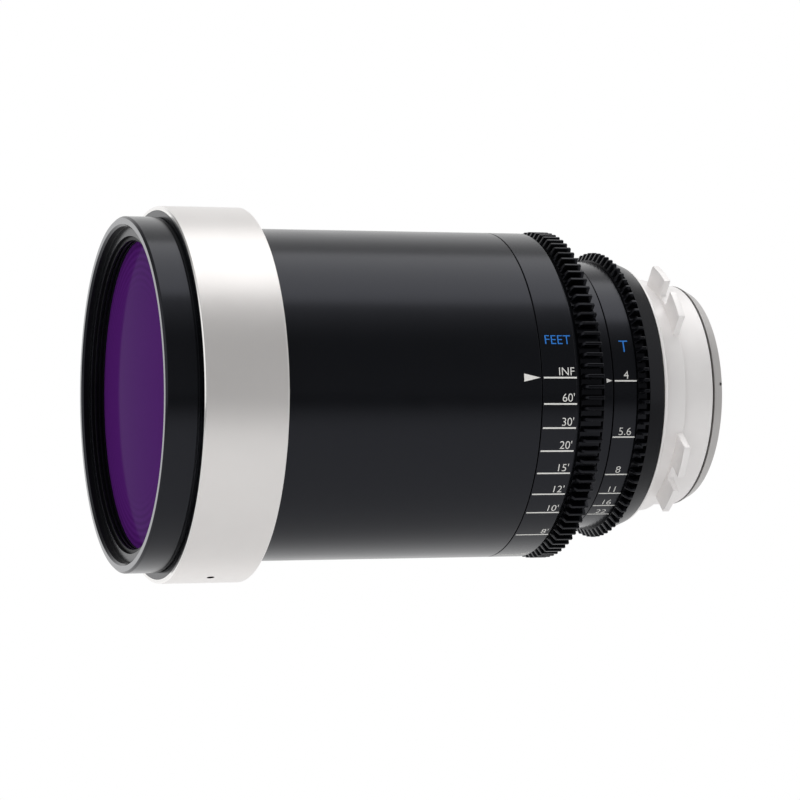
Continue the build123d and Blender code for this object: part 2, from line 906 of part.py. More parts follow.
# Cam tube with three helical slots
cam_lock_rear_x = focus_rear_x - cam_lock_inset
cam_lock_front_x = cam_lock_rear_x - cam_lock_thick
lip_rear_x = cam_lock_front_x - run
lip_front_x = lip_rear_x - focus_lip_thick
cam_front_x = guide_flange_rear_x + run
cam_blank = tube(cam_front_x, lip_front_x, cam_r, cam_bore_r)
cam_ring = Rotation(180 / follower_count, 0, 0) * cam_blank
cam_middle_r = (cam_bore_r + cam_r) / 2
cam_path = Helix(
    focus_travel * 360 / focus_throw, focus_travel, cam_middle_r, lefthand=True
)
cam_profile = Plane(
    origin=cam_path @ 0, x_dir=(1, 0, 0), z_dir=cam_path % 0
) * Rectangle(cam_wall + cut_over, 2 * slot_r)
cam_sweep = sweep(cam_profile, path=cam_path, is_frenet=True)
for azimuth in follower_azimuths:
    start = (0, -cos(radians(azimuth)), sin(radians(azimuth)))
    place = Plane(origin=(follower_x, 0, 0), x_dir=start, z_dir=(-1, 0, 0))
    cam_ring -= place.location * cam_sweep
    for share in (0, 1):
        cam_ring -= radial_rod(
            follower_x - focus_travel * share,
            azimuth - focus_throw * share,
            cam_bore_r - cut_over,
            cam_r + cut_over,
            slot_r,
        )
drive_screw_x = lip_front_x - drive_screw_inset
drive_azimuths = spread(drive_screw_azimuth, drive_screw_count)
for azimuth in drive_azimuths:
    cam_ring -= radial_rod(
        drive_screw_x, azimuth, cam_bore_r - cut_over, cam_r + cut_over, drive_screw_r + slip
    )
solids["cam_ring"] = cam_ring

# Focus ring, its gear and the screws that join it to the cam tube
focus_ring = turned(
    (focus_front_x, ring_bore_r),
    (focus_front_x, barrel_r),
    (focus_scale_rear_x, barrel_r),
    (focus_scale_rear_x, carrier_r),
    (focus_rear_x, carrier_r),
    (focus_rear_x, inner_r + slip + cam_lock_wall + run),
    (lip_rear_x, inner_r + slip + cam_lock_wall + run),
    (lip_rear_x, cam_bore_r),
    (lip_front_x, cam_bore_r),
    (lip_front_x, ring_bore_r),
)
for azimuth in drive_azimuths:
    focus_ring -= radial_rod(
        drive_screw_x,
        azimuth,
        ring_bore_r - cut_over,
        carrier_r + cut_over,
        drive_screw_r + slip,
    )
solids["focus_ring"] = focus_ring
solids["focus_drive_screws"] = Compound(
    [
        radial_rod(
            drive_screw_x, azimuth, cam_bore_r + slip, carrier_r - slip, drive_screw_r
        )
        for azimuth in drive_azimuths
    ]
)
focus_gear_bore_r = carrier_r + slip
focus_teeth = teeth_for(focus_gear_bore_r + focus_gear_rim)
solids["focus_gear"] = gear_ring(
    focus_gear_front_x, focus_rear_x, focus_teeth, focus_gear_bore_r
)
solids["cam_retaining_ring"] = tube(
    cam_lock_front_x, cam_lock_rear_x, inner_r + slip + cam_lock_wall, inner_r + slip
)

# Focus cell, which slides in the guide tube
focus_cell_r = inner_bore_r - run
focus_cell_bore_r = focus_cell_r - focus_cell_wall
focus_glass_r = focus_cell_bore_r - slip
focus_clear_r = focus_glass_r - focus_land
focus_cell = turned(
    (focus_cell_front_x, focus_cell_bore_r),
    (focus_cell_front_x, focus_cell_r),
    (focus_cell_rear_x, focus_cell_r),
    (focus_cell_rear_x, focus_cell_bore_r - focus_land),
    (focus_glass_rear_x, focus_cell_bore_r - focus_land),
    (focus_glass_rear_x, focus_cell_bore_r),
)
followers = []
for azimuth in follower_azimuths:
    focus_cell -= radial_rod(
        follower_x,
        azimuth,
        focus_cell_bore_r - cut_over,
        focus_cell_r + cut_over,
        follower_stud_r + slip,
    )
    stud = radial_rod(
        follower_x, azimuth, focus_cell_bore_r + slip, inner_r, follower_stud_r
    )
    roller = radial_rod(
        follower_x, azimuth, inner_bore_r + run, cam_r - run, follower_r
    )
    followers.append(stud + roller)
solids["focus_cell"] = focus_cell
solids["cam_followers"] = Compound(followers)
solids["focus_cell_retaining_ring"] = tube(
    focus_cell_front_x,
    focus_glass_front_x,
    focus_glass_r,
    focus_clear_r,
)
solids["focus_front_element"] = round_lens(
    focus_glass_front_x,
    focus_spacer_front_x,
    focus_glass_r,
    focus_clear_r,
    -focus_front_hollow,
    focus_lens_bulge,
)
solids["focus_spacer"] = tube(
    focus_spacer_front_x,
    focus_spacer_rear_x,
    focus_glass_r,
    focus_clear_r,
)
solids["focus_rear_element"] = round_lens(
    focus_spacer_rear_x,
    focus_glass_rear_x,
    focus_glass_r,
    focus_clear_r,
    focus_lens_bulge,
    focus_rear_bulge,
)

# Main barrel: flange under the band, spigot into the front housing, ledge for the cells
front_spigot_r = barrel_bore_r + front_spigot_wall
main_barrel = turned(
    (barrel_front_x, barrel_bore_r),
    (barrel_front_x, front_spigot_r),
    (flange_front_x, front_spigot_r),
    (flange_front_x, flange_r),
    (flange_rear_x, flange_r),
    (flange_rear_x, barrel_r),
    (barrel_rear_x, barrel_r),
    (barrel_rear_x, barrel_bore_r),
    (guide_front_x, barrel_bore_r),
    (guide_front_x, barrel_bore_r - ledge_reach),
    (ledge_x, barrel_bore_r - ledge_reach),
    (ledge_x, barrel_bore_r),
)
for azimuth in flange_screw_azimuths:
    main_barrel -= axial_rod(
        guide_front_x - flange_screw_bite,
        guide_front_x + cut_over,
        flange_screw_r + slip,
        flange_screw_circle_r,
        azimuth,
    )
index_pin_azimuth = 180 / flange_screw_count
main_barrel -= axial_rod(
    ledge_x - cut_over,
    ledge_x + index_pin_bite,
    index_pin_r + slip,
    flange_screw_circle_r,
    index_pin_azimuth,
)
band_screw_x = flange_front_x + band_screw_inset
band_screw_azimuths = [band_screw_azimuth, band_screw_azimuth - 180]
for azimuth in band_screw_azimuths:
    main_barrel -= radial_rod(
        band_screw_x,
        azimuth,
        flange_r - band_screw_bite,
        flange_r + cut_over,
        band_screw_r,
    )
solids["main_barrel"] = main_barrel

# Silver band and its grub screws
silver_band = turned(
    (band_front_x, band_bore_r),
    (band_front_x, band_r - band_chamfer),
    (band_front_x + band_chamfer, band_r),
    (band_rear_x - band_chamfer, band_r),
    (band_rear_x, band_r - band_chamfer),
    (band_rear_x, barrel_r + slip),
    (flange_rear_x, barrel_r + slip),
    (flange_rear_x, band_bore_r),
)
for azimuth in band_screw_azimuths:
    silver_band -= radial_rod(
        band_screw_x,
        azimuth,
        band_bore_r - cut_over,
        band_r + cut_over,
        band_screw_r,
    )
solids["silver_band"] = silver_band
solids["band_screws"] = Compound(
    [
        radial_rod(
            band_screw_x,
            azimuth,
            flange_r - band_screw_bite + slip,
            band_r - band_screw_sink,
            band_screw_r - slip,
        )
        for azimuth in band_screw_azimuths
    ]
)

# Front housing with the filter thread and the light-trap steps
front_glass_r = filter_thread_r + front_glass_step
glass_bore_r = front_glass_r + slip
front_profile = [
    (front_x, filter_thread_r + filter_mouth),
    (front_x, front_r - front_rim_chamfer),
    (front_x + front_rim_chamfer, front_r),
    (band_front_x - seam, front_r),
    (band_front_x - seam, flange_r),
    (flange_front_x, flange_r),
    (flange_front_x, front_spigot_r + slip),
    (barrel_front_x, front_spigot_r + slip),
    (barrel_front_x, glass_bore_r),
    (glass_seat_x, glass_bore_r),
]
trap_r = filter_thread_r - trap_drop - (trap_step_count - 1) * trap_step_height
front_profile.append((glass_seat_x, trap_r))
for step in range(trap_step_count):
    x = trap_rear_x - step * trap_step_length
    radius = trap_r + step * trap_step_height
    front_profile.append((x, radius))
    front_profile.append((x - trap_step_length, radius))
front_profile.append((thread_rear_x, filter_thread_r))
front_profile.append((front_x + filter_mouth, filter_thread_r))
solids["front_ring"] = turned(*front_profile)

# Front glass and the ring behind it
solids["front_element"] = round_lens(
    glass_seat_x,
    glass_rear_x,
    front_glass_r,
    trap_r,
    front_glass_bulge,
    -front_glass_hollow,
)
solids["front_retaining_ring"] = tube(
    glass_rear_x, glass_rear_x + front_lock_thick, front_glass_r, trap_r
)

# Squeeze cell, seated on the barrel's ledge
squeeze_r = barrel_bore_r - slip
squeeze_bore_r = squeeze_r - squeeze_cell_wall
squeeze_glass_r = squeeze_bore_r - slip
anamorphic_cell = turned(
    (squeeze_front_x, squeeze_bore_r),
    (squeeze_front_x, squeeze_r),
    (ledge_x, squeeze_r),
    (ledge_x, squeeze_bore_r - squeeze_lip_wall),
    (squeeze_seat_x, squeeze_bore_r - squeeze_lip_wall),
    (squeeze_seat_x, squeeze_bore_r),
)
anamorphic_cell -= axial_rod(
    ledge_x - index_pin_bite,
    ledge_x + cut_over,
    index_pin_r + slip,
    flange_screw_circle_r,
    index_pin_azimuth,
)
solids["anamorphic_cell"] = anamorphic_cell
solids["anamorphic_index_pin"] = axial_rod(
    ledge_x - index_pin_bite,
    ledge_x + index_pin_bite,
    index_pin_r,
    flange_screw_circle_r,
    index_pin_azimuth,
)
solids["anamorphic_retaining_ring"] = tube(
    squeeze_front_x,
    squeeze_glass_x,
    squeeze_glass_r,
    squeeze_glass_r - squeeze_lip_wall,
)
solids["anamorphic_front_element"] = squeeze_lens(
    squeeze_glass_x,
    squeeze_spacer_front_x,
    squeeze_glass_r,
    squeeze_front_sag,
    -1,
)
solids["anamorphic_spacer"] = tube(
    squeeze_spacer_front_x,
    squeeze_spacer_rear_x,
    squeeze_glass_r,
    squeeze_glass_r - squeeze_spacer_wall,
)
solids["anamorphic_rear_element"] = squeeze_lens(
    squeeze_spacer_rear_x,
    squeeze_seat_x,
    squeeze_glass_r,
    squeeze_rear_sag,
    1,
)
solids["cell_lock_ring"] = tube(
    squeeze_front_x - cell_lock_thick,
    squeeze_front_x,
    squeeze_r,
    squeeze_r - cell_lock_wall,
)

os.makedirs("parts", exist_ok=True)
for name, solid in solids.items():
    export_step(solid, f"parts/{name}.step")

print("overall length", round(trim_rear_x - front_x, 2), "diameter", round(2 * band_r, 2))
print("focus teeth", focus_teeth, "iris teeth", iris_teeth, "nodes", len(solids))
smallest_stop_r = blade_open_r - 2 * blade_pivot_r * sin(radians(blade_throw) / 2)
print("smallest stop radius", round(smallest_stop_r, 2))
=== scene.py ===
import json
import math

import bmesh
import bpy
from mathutils import Matrix, Vector

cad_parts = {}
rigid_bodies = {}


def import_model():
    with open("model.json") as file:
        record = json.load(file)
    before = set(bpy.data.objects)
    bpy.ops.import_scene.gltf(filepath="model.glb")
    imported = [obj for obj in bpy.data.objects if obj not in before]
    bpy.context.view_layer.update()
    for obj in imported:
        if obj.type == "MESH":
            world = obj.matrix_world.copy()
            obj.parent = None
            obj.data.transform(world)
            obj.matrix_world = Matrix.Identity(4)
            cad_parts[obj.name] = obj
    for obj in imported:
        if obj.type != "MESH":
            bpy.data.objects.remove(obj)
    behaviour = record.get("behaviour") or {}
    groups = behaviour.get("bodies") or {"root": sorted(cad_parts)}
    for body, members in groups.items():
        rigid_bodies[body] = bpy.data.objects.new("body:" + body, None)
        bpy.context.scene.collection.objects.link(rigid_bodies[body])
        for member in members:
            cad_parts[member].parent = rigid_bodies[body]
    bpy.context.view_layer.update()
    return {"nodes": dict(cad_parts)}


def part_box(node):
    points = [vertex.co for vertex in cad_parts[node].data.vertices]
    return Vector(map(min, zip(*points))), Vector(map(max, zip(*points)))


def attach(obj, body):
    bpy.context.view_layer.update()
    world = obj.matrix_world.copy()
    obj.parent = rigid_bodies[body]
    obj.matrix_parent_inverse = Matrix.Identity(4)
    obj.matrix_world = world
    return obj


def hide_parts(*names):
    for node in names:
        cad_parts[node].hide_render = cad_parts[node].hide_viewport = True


for leftover in list(bpy.data.objects):
    bpy.data.objects.remove(leftover)
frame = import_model()

# The view of the photograph: a long lens, level with the object and a little ahead of it.
# The optical axis is X, the index marks face -Y, and the lens is rolled a few degrees.
mm = 0.001
view_turn = math.radians(19.085)
view_roll = math.radians(5.85)
view_tilt = math.radians(0.0935)
view_distance = 0.74404
aim = Vector((-0.06208, 0, 0))
forward = Vector((
    math.sin(view_turn),
    math.cos(view_turn) * math.cos(view_roll),
    math.cos(view_turn) * math.sin(view_roll),
))
up = Vector((0, -math.sin(view_roll), math.cos(view_roll)))
right = forward.cross(up)
tilted_forward = forward * math.cos(view_tilt) - up * math.sin(view_tilt)
tilted_up = right.cross(tilted_forward)
photo_lens = 139.5
photo_sensor = 36
camera_data = bpy.data.cameras.new("photo_camera")
camera_data.lens = photo_lens
camera_data.sensor_width = photo_sensor
camera = bpy.data.objects.new("photo_camera", camera_data)
turn = Matrix((right, tilted_up, -tilted_forward)).transposed().to_4x4()
camera.matrix_world = Matrix.Translation(aim - forward * view_distance) @ turn
bpy.context.scene.collection.objects.link(camera)
bpy.context.scene.camera = camera
bpy.context.scene.view_settings.view_transform = "Standard"


# The studio: a white sweep behind, a pale floor, a dark gap on the camera's side and one soft
# box overhead. The sweep and the air show pure white to the camera, metal and glass.
def shade(colour):
    """An sRGB hex colour as linear RGBA."""
    parts = [int(colour[place:place + 2], 16) / 255 for place in (1, 3, 5)]
    return [p / 12.92 if p <= 0.04045 else ((p + 0.055) / 1.055) ** 2.4 for p in parts] + [1.0]


def add(tree, kind, inputs=None, **settings):
    """Adds a node. An input given as a socket is linked, any other is set."""
    made = tree.nodes.new(kind)
    for name, value in settings.items():
        setattr(made, name, value)
    for name, value in (inputs or {}).items():
        if isinstance(value, bpy.types.NodeSocket):
            tree.links.new(value, made.inputs[name])
        else:
            made.inputs[name].default_value = value
    return made


def maths(tree, operation, first, second=0.0):
    """One arithmetic step on one or two values or sockets."""
    return add(tree, "ShaderNodeMath", {0: first, 1: second}, operation=operation).outputs[0]


def smooth(tree, value, low, high):
    """A soft step from 0 at low to 1 at high."""
    step = add(tree, "ShaderNodeMapRange", {"Value": value, "From Min": low, "From Max": high},
               interpolation_type="SMOOTHSTEP")
    return step.outputs["Result"]


def blend(tree, factor, first, second):
    """A mix of two colours."""
    return add(tree, "ShaderNodeMix", {"Factor": factor, 6: first, 7: second}, data_type="RGBA").outputs[2]


pure_white = shade("#FFFFFF")
wall_stops = ((0.0, 0.7), (0.26, 0.6), (0.34, 0.5), (0.41, 0.36), (0.5, 0.24), (0.8, 0.18), (0.86, 0.32),
              (0.91, 0.55), (0.96, 0.55), (1.0, 0.4))
sweep_start = 0.45
sweep_end = 0.85
side_start = 0.6
side_end = 0.92
studio = bpy.data.worlds.new("studio")
bpy.context.scene.world = studio
studio.use_nodes = True
air = studio.node_tree
air.nodes.clear()
look = add(air, "ShaderNodeTexCoord").outputs["Generated"]
height = add(air, "ShaderNodeVectorMath", {0: look, 1: up}, operation="DOT_PRODUCT").outputs["Value"]
depth = add(air, "ShaderNodeVectorMath", {0: look, 1: forward}, operation="DOT_PRODUCT").outputs["Value"]
climb = add(air, "ShaderNodeMapRange", {"Value": height, "From Min": -1.0, "From Max": 1.0})
walls = add(air, "ShaderNodeValToRGB", {"Fac": climb.outputs["Result"]})
ramp = walls.color_ramp
while len(ramp.elements) < len(wall_stops):
    ramp.elements.new(0.5)
for stop, (place, level) in zip(ramp.elements, wall_stops):
    stop.position = place
    stop.color = (level, level, level, 1)
behind = smooth(air, depth, sweep_start, sweep_end)
across = add(air, "ShaderNodeSeparateXYZ", {0: look}).outputs["X"]
beside = smooth(air, maths(air, "ABSOLUTE", across), side_start, side_end)
lit = blend(air, maths(air, "MAXIMUM", behind, beside), walls.outputs["Color"], pure_white)
seen = add(air, "ShaderNodeLightPath").outputs["Is Camera Ray"]
sky = add(air, "ShaderNodeBackground", {"Color": blend(air, seen, lit, pure_white), "Strength": 1.0})
add(air, "ShaderNodeOutputWorld", {"Surface": sky.outputs["Background"]})

box_height = 0.62
box_ahead = 0.21
box_near = 0.03
box_long = 0.6
box_wide = 0.56
box_power = 1.45
box_light = bpy.data.lights.new("softbox", "AREA")
box_light.shape = "RECTANGLE"
box_light.size = box_long
box_light.size_y = box_wide
box_light.energy = box_power
softbox = bpy.data.objects.new("softbox", box_light)
softbox.location = aim + up * box_height + Vector((box_ahead, -box_near, 0))
softbox.visible_camera = False
bpy.context.scene.collection.objects.link(softbox)
fill_size = 1.2
fill_away = 1.1
fill_power = 6.0
fill_rise = 0.35
fill_ahead = 0.35
fill_light = bpy.data.lights.new("fill", "AREA")
fill_light.shape = "SQUARE"
fill_light.size = fill_size
fill_light.energy = fill_power
fill = bpy.data.objects.new("fill", fill_light)
fill_side = (up * fill_rise - forward - Vector((fill_ahead, 0, 0))).normalized()
fill_turn = fill_side.to_track_quat("Z", "Y").to_matrix().to_4x4()
fill.matrix_world = Matrix.Translation(aim + fill_side * fill_away) @ fill_turn
fill.visible_camera = False
fill.visible_glossy = False
bpy.context.scene.collection.objects.link(fill)

floor_drop = 0.28
floor_half = 2.4
fade_start = 0.35
fade_end = 1.5
mirror_start = 0.02
mirror_end = 0.3
dim_start = -0.4
dim_end = -1.3
floor_mesh = bpy.data.meshes.new("floor")
floor_mesh.from_pydata(
    [(x * floor_half, y * floor_half, -floor_drop) for x, y in ((-1, -1), (1, -1), (1, 1), (-1, 1))],
    [], [(0, 1, 2, 3)])
floor = bpy.data.objects.new("floor", floor_mesh)
bpy.context.scene.collection.objects.link(floor)
paper = bpy.data.materials.new("white_paper")
paper.use_nodes = True
sheet = paper.node_tree
sheet.nodes.clear()
spot = add(sheet, "ShaderNodeTexCoord").outputs["Object"]
away = add(sheet, "ShaderNodeVectorMath", {0: spot, 1: (0, 0, -floor_drop)}, operation="DISTANCE")
beyond = add(sheet, "ShaderNodeVectorMath", {0: spot, 1: forward}, operation="DOT_PRODUCT").outputs["Value"]
path = add(sheet, "ShaderNodeLightPath").outputs
seeing = maths(sheet, "MAXIMUM", path["Is Camera Ray"], path["Is Transmission Ray"])
fade = smooth(sheet, away.outputs["Value"], fade_start, fade_end)
direct = maths(sheet, "MULTIPLY", seeing, fade)
mirrored = maths(sheet, "MULTIPLY", path["Is Glossy Ray"], smooth(sheet, beyond, mirror_start, mirror_end))
dimmed = maths(sheet, "MULTIPLY", path["Is Glossy Ray"], smooth(sheet, beyond, dim_start, dim_end))
sheet_tone = blend(sheet, dimmed, shade("#F0F0F0"), shade("#707070"))
matt = add(sheet, "ShaderNodeBsdfDiffuse", {"Color": sheet_tone})
light = add(sheet, "ShaderNodeEmission", {"Color": pure_white, "Strength": 1.0})
mixed = add(sheet, "ShaderNodeMixShader",
            {0: maths(sheet, "MAXIMUM", direct, mirrored), 1: matt.outputs[0], 2: light.outputs[0]})
add(sheet, "ShaderNodeOutputMaterial", {"Surface": mixed.outputs[0]})
floor_mesh.materials.append(paper)


# Main barrel: a long tube turned from aluminium, bead blasted and anodised black.
# Its front flange sits under the band, and the focus ring runs against its rear end.
edge_steps = 4
edge_limit = 0.45
edge_support = 1.3
round_steps = 320
turned_weld = 0.0001


def span(node):
    """Front x, rear x and largest radius of a CAD node, in millimetres."""
    low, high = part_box(node)
    return low.x / mm, high.x / mm, high.y / mm


def rounded(corners):
    """Outline points from (x, radius, edge) corners: an edge above 0 becomes a small arc."""
    points = []
    for place, (x, radius, edge) in enumerate(corners):
        here = Vector((x, radius))
        if edge == 0:
            points.append(here)
            continue
        before = Vector(corners[place - 1][:2]) - here
        after = Vector(corners[(place + 1) % len(corners)][:2]) - here
        reach = min(edge, before.length * edge_limit, after.length * edge_limit)
        first = here + before.normalized() * reach
        last = here + after.normalized() * reach
        points.append(here + before.normalized() * reach * edge_support)
        for step in range(edge_steps + 1):
            share = step / edge_steps
            side = first.lerp(here, share)
            points.append(side.lerp(here.lerp(last, share), share))
        points.append(here + after.normalized() * reach * edge_support)
    return points


def plain_object(name, mesh, smooth_angle=32):
    """An object at the origin, smooth shaded up to an angle, from a mesh in metres."""
    made = bpy.data.objects.new(name, mesh)
    bpy.context.scene.collection.objects.link(made)
    mesh.shade_smooth()
    mesh.set_sharp_from_angle(angle=math.radians(smooth_angle))
    return made


def turned(name, corners, steps=round_steps):
    """A closed ring or disc turned about the optical axis from a closed outline in millimetres."""
    outline = rounded(corners)
    work = bmesh.new()
    rings = []
    for step in range(steps):
        angle = 2 * math.pi * step / steps
        rings.append([
            work.verts.new((p.x * mm, -p.y * mm * math.cos(angle), p.y * mm * math.sin(angle)))
            for p in outline
        ])
    for step, ring in enumerate(rings):
        after = rings[(step + 1) % steps]
        for place in range(len(outline)):
            follow = (place + 1) % len(outline)
            work.faces.new((ring[place], ring[follow], after[follow], after[place]))
    bmesh.ops.remove_doubles(work, verts=work.verts, dist=turned_weld * mm)
    bmesh.ops.recalc_face_normals(work, faces=work.faces)
    mesh = bpy.data.meshes.new(name)
    work.to_mesh(mesh)
    work.free()
    return plain_object(name, mesh)


def grain(tree, across, along, detail=2.0):
    """Noise with its grain size in millimetres along the axis and round it."""
    place = add(tree, "ShaderNodeTexCoord").outputs["Object"]
    scale = Vector((1 / across, 1 / along, 1 / along)) / mm
    sized = add(tree, "ShaderNodeMapping", {"Vector": place, "Scale": scale})
    return add(tree, "ShaderNodeTexNoise",
               {"Vector": sized.outputs[0], "Scale": 1.0, "Detail": detail}).outputs["Fac"]


def material(name, values):
    """A new material with plain values on its shader. Returns it, its node tree and its shader."""
    made = bpy.data.materials.new(name)
    made.use_nodes = True
    surface = made.node_tree.nodes["Principled BSDF"]
    for socket, value in values.items():
        surface.inputs[socket].default_value = value
    return made, made.node_tree, surface


def feed(surface, socket, output):
    """Links an output to one of a shader's inputs."""
    surface.id_data.links.new(output, surface.inputs[socket])


def vary(tree, pattern, low, high):
    """A value that a pattern moves between two limits."""
    ranged = add(tree, "ShaderNodeMapRange", {"Value": pattern, "To Min": low, "To Max": high})
    return ranged.outputs["Result"]


def relief(surface, height, strength):
    """Fine relief on a shader's surface from a height pattern."""
    bump = add(surface.id_data, "ShaderNodeBump",
               {"Height": height, "Strength": strength, "Distance": relief_deep * mm})
    feed(surface, "Normal", bump.outputs["Normal"])


relief_deep = 0.02
cloud_size = 9
gloss_spread = 0.03
sheen_tint = "#ECEFFF"


def anodised(name, dark, light, roughness, index, blast=0.35, bump=0.08):
    """Black anodised aluminium. Bead blasting leaves a fine grain that blurs the gloss."""
    made, tree, surface = material(name, {"IOR": index, "Specular Tint": shade(sheen_tint)})
    broad = grain(tree, cloud_size, cloud_size, 3.0)
    feed(surface, "Base Color", blend(tree, broad, shade(dark), shade(light)))
    feed(surface, "Roughness", vary(tree, broad, roughness - gloss_spread, roughness + gloss_spread))
    relief(surface, grain(tree, blast, blast), bump)
    return made


barrel_black = anodised("black_anodised_barrel", "#040507", "#060709", 0.22, 1.42)
barrel_front, barrel_rear, flange_r = span("main_barrel")
barrel_r = span("focus_ring")[2]
play = 0.04
band_overhang = 2.4
flange_long = 9.55
spigot_step = 0.3
barrel_wall = 2.0
flange_rear = span("silver_band")[1] - band_overhang
flange_front = flange_rear - flange_long
spigot_r = barrel_r + spigot_step
bore_r = barrel_r - barrel_wall
main_barrel = turned("main_barrel_tube", [
    (barrel_front, bore_r, 0.1),
    (barrel_front, spigot_r, 0.1),
    (flange_front, spigot_r, 0),
    (flange_front, flange_r, 0.1),
    (flange_rear, flange_r, 0.1),
    (flange_rear, barrel_r, 0),
    (barrel_rear, barrel_r, 0.12),
    (barrel_rear, bore_r, 0.1),
])
main_barrel.data.materials.append(barrel_black)
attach(main_barrel, "lens_body")
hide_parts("main_barrel")

# Band: a satin aluminium sleeve over the joint of barrel and front housing, clear anodised.
# It is turned and fine blasted, so it gleams softly. Its front lip is cut bright, and two grub
# screws hold it.
band_front, band_rear, band_r = span("silver_band")
band_edge = 0.35
band_bore_r = flange_r + play
screw_reach = 0.86
screw_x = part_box("band_screws")[0].x / mm + screw_reach
screw_turn = math.radians(281.4)
hole_r = 0.9
hole_sides = 32
hole_slack = 0.05
drill_past = 1
lip_width = 1.0
lip_r = band_r - lip_width
lip_deep = 0.32
lip_bevel = 0.3
face_slack = 0.02


def cut_holes(piece, holes):
    """Drills radial holes, given as (x, azimuth, radius, inner, outer) in millimetres."""
    for x, azimuth, radius, inner, outer in holes:
        work = bmesh.new()
        bmesh.ops.create_cone(work, cap_ends=True, segments=hole_sides, radius1=radius * mm,
                              radius2=radius * mm, depth=(outer - inner) * mm)
        work.transform(Matrix.Translation((x * mm, 0, 0)) @ Matrix.Rotation(math.pi / 2 - azimuth, 4, "X")
                       @ Matrix.Translation((0, 0, (inner + outer) / 2 * mm)))
        mesh = bpy.data.meshes.new("drill")
        work.to_mesh(mesh)
        work.free()
        drill = bpy.data.objects.new("drill", mesh)
        bpy.context.scene.collection.objects.link(drill)
        cut = piece.modifiers.new("hole", "BOOLEAN")
        cut.object = drill
        cut.solver = "EXACT"
        settle(piece)
        bpy.data.objects.remove(drill)
        bpy.data.meshes.remove(mesh)


def settle(piece, smooth_angle=32):
    """Turns a piece's modifiers into plain mesh."""
    ready = piece.evaluated_get(bpy.context.evaluated_depsgraph_get())
    mesh = bpy.data.meshes.new_from_object(ready)
    mesh.name = piece.name
    piece.modifiers.clear()
    piece.data = mesh
    mesh.shade_smooth()
    mesh.set_sharp_from_angle(angle=math.radians(smooth_angle))


band_silver, tree, surface = material("satin_anodised_aluminium", {"Metallic": 0.87, "Anisotropic": 0.75})
turning = grain(tree, 0.3, 14, 3.0)
blasting = grain(tree, 0.4, 0.4)
feed(surface, "Base Color", blend(tree, grain(tree, 12, 12), shade("#F3F0EE"), shade("#F9F6F4")))
feed(surface, "Roughness", vary(tree, turning, 0.45, 0.53))
feed(surface, "Tangent", add(tree, "ShaderNodeCombineXYZ", {"X": 1.0}).outputs[0])
relief(surface, maths(tree, "ADD", turning, blasting), 0.12)
silver_band = turned("silver_band_sleeve", [
    (band_front + lip_deep, band_bore_r, 0),
    (band_front + lip_deep, lip_r, 0),
    (band_front, lip_r, 0.05),
    (band_front, band_r - lip_bevel, 0.04),
    (band_front + lip_bevel, band_r, 0.06),
    (band_rear, band_r, band_edge),
    (band_rear, barrel_r + play, 0.1),
    (flange_rear, barrel_r + play, 0),
    (flange_rear, band_bore_r, 0),
])
cut_holes(silver_band, [
    (screw_x, azimuth, hole_r, band_bore_r - drill_past, band_r + drill_past)
    for azimuth in (screw_turn, screw_turn - math.pi)
])
cut_silver, tree, surface = material("turned_bright_lip", {"Metallic": 1.0, "Base Color": shade("#F4F2F0")})
feed(surface, "Roughness", vary(tree, grain(tree, 0.3, 14, 3.0), 0.14, 0.22))
# Matt black lacquer for the front housing's bore. The same black is also painted shade in the band's screw
# holes and in the mount's groove.
lacquer_and_shade_black = anodised("matt_black_lacquer_and_painted_shade", "#020202", "#040405", 0.42, 1.3)
for finish in (band_silver, cut_silver, lacquer_and_shade_black):
    silver_band.data.materials.append(finish)
# The walls of the two screw holes take the matt black: painted shade inside the holes.
for face in silver_band.data.polygons:
    from_axis = math.hypot(face.center.y, face.center.z) / mm
    in_hole = abs(face.center.x / mm - screw_x) < hole_r + hole_slack
    if face.center.x / mm < band_front + lip_bevel + face_slack:
        face.material_index = 1
    elif in_hole and band_bore_r + 2 * hole_slack < from_axis < band_r - hole_slack:
        face.material_index = 2
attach(silver_band, "lens_body")
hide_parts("silver_band")

# Front housing: anodised black, with the filter thread in its mouth and light-trap steps
# down to the glass. Its rim is left flat and catches the light as a thin bright ring.
front_x, _, front_r = span("front_ring")
seat_bore_r = front_r - 2.98
bore_mouth_r = front_r - 2.37
rim_inner_r = front_r - 1.77
rim_bevel = 0.5
mouth_bevel = 0.5
ledge_x = front_x + 1.85
ledge_inner_r = front_r - 4.57
ledge_thick = 0.45
ledge_round = 0.35
ledge_back = 0.3
trap_steps = 3
trap_step = 0.95
trap_rise = 0.8
trap_land = 0.4
trap_lead = 0.3
trap_front = front_x + 2.6
trap_r = front_r - 5.5
glass_seat = front_x + 4.95
shoulder_x = band_front - 0.8
shoulder_line = 0.22
shoulder_drop = 0.4
shoulder_land = 0.25
land_x = shoulder_x + shoulder_line
land_r = front_r - 0.1
groove_r = front_r - 0.5
lip_play = 0.02
rim_slack = 0.03
mouth_slack = 0.05
trap_corners = []
for place in reversed(range(trap_steps)):
    x = trap_front + place * trap_step
    trap_corners += [(x + trap_land, trap_r, 0.04), (x, trap_r, 0.05)]
    if place > 0:
        trap_corners += [(x, trap_r + trap_rise, 0), (x - trap_lead, trap_r + trap_rise, 0)]
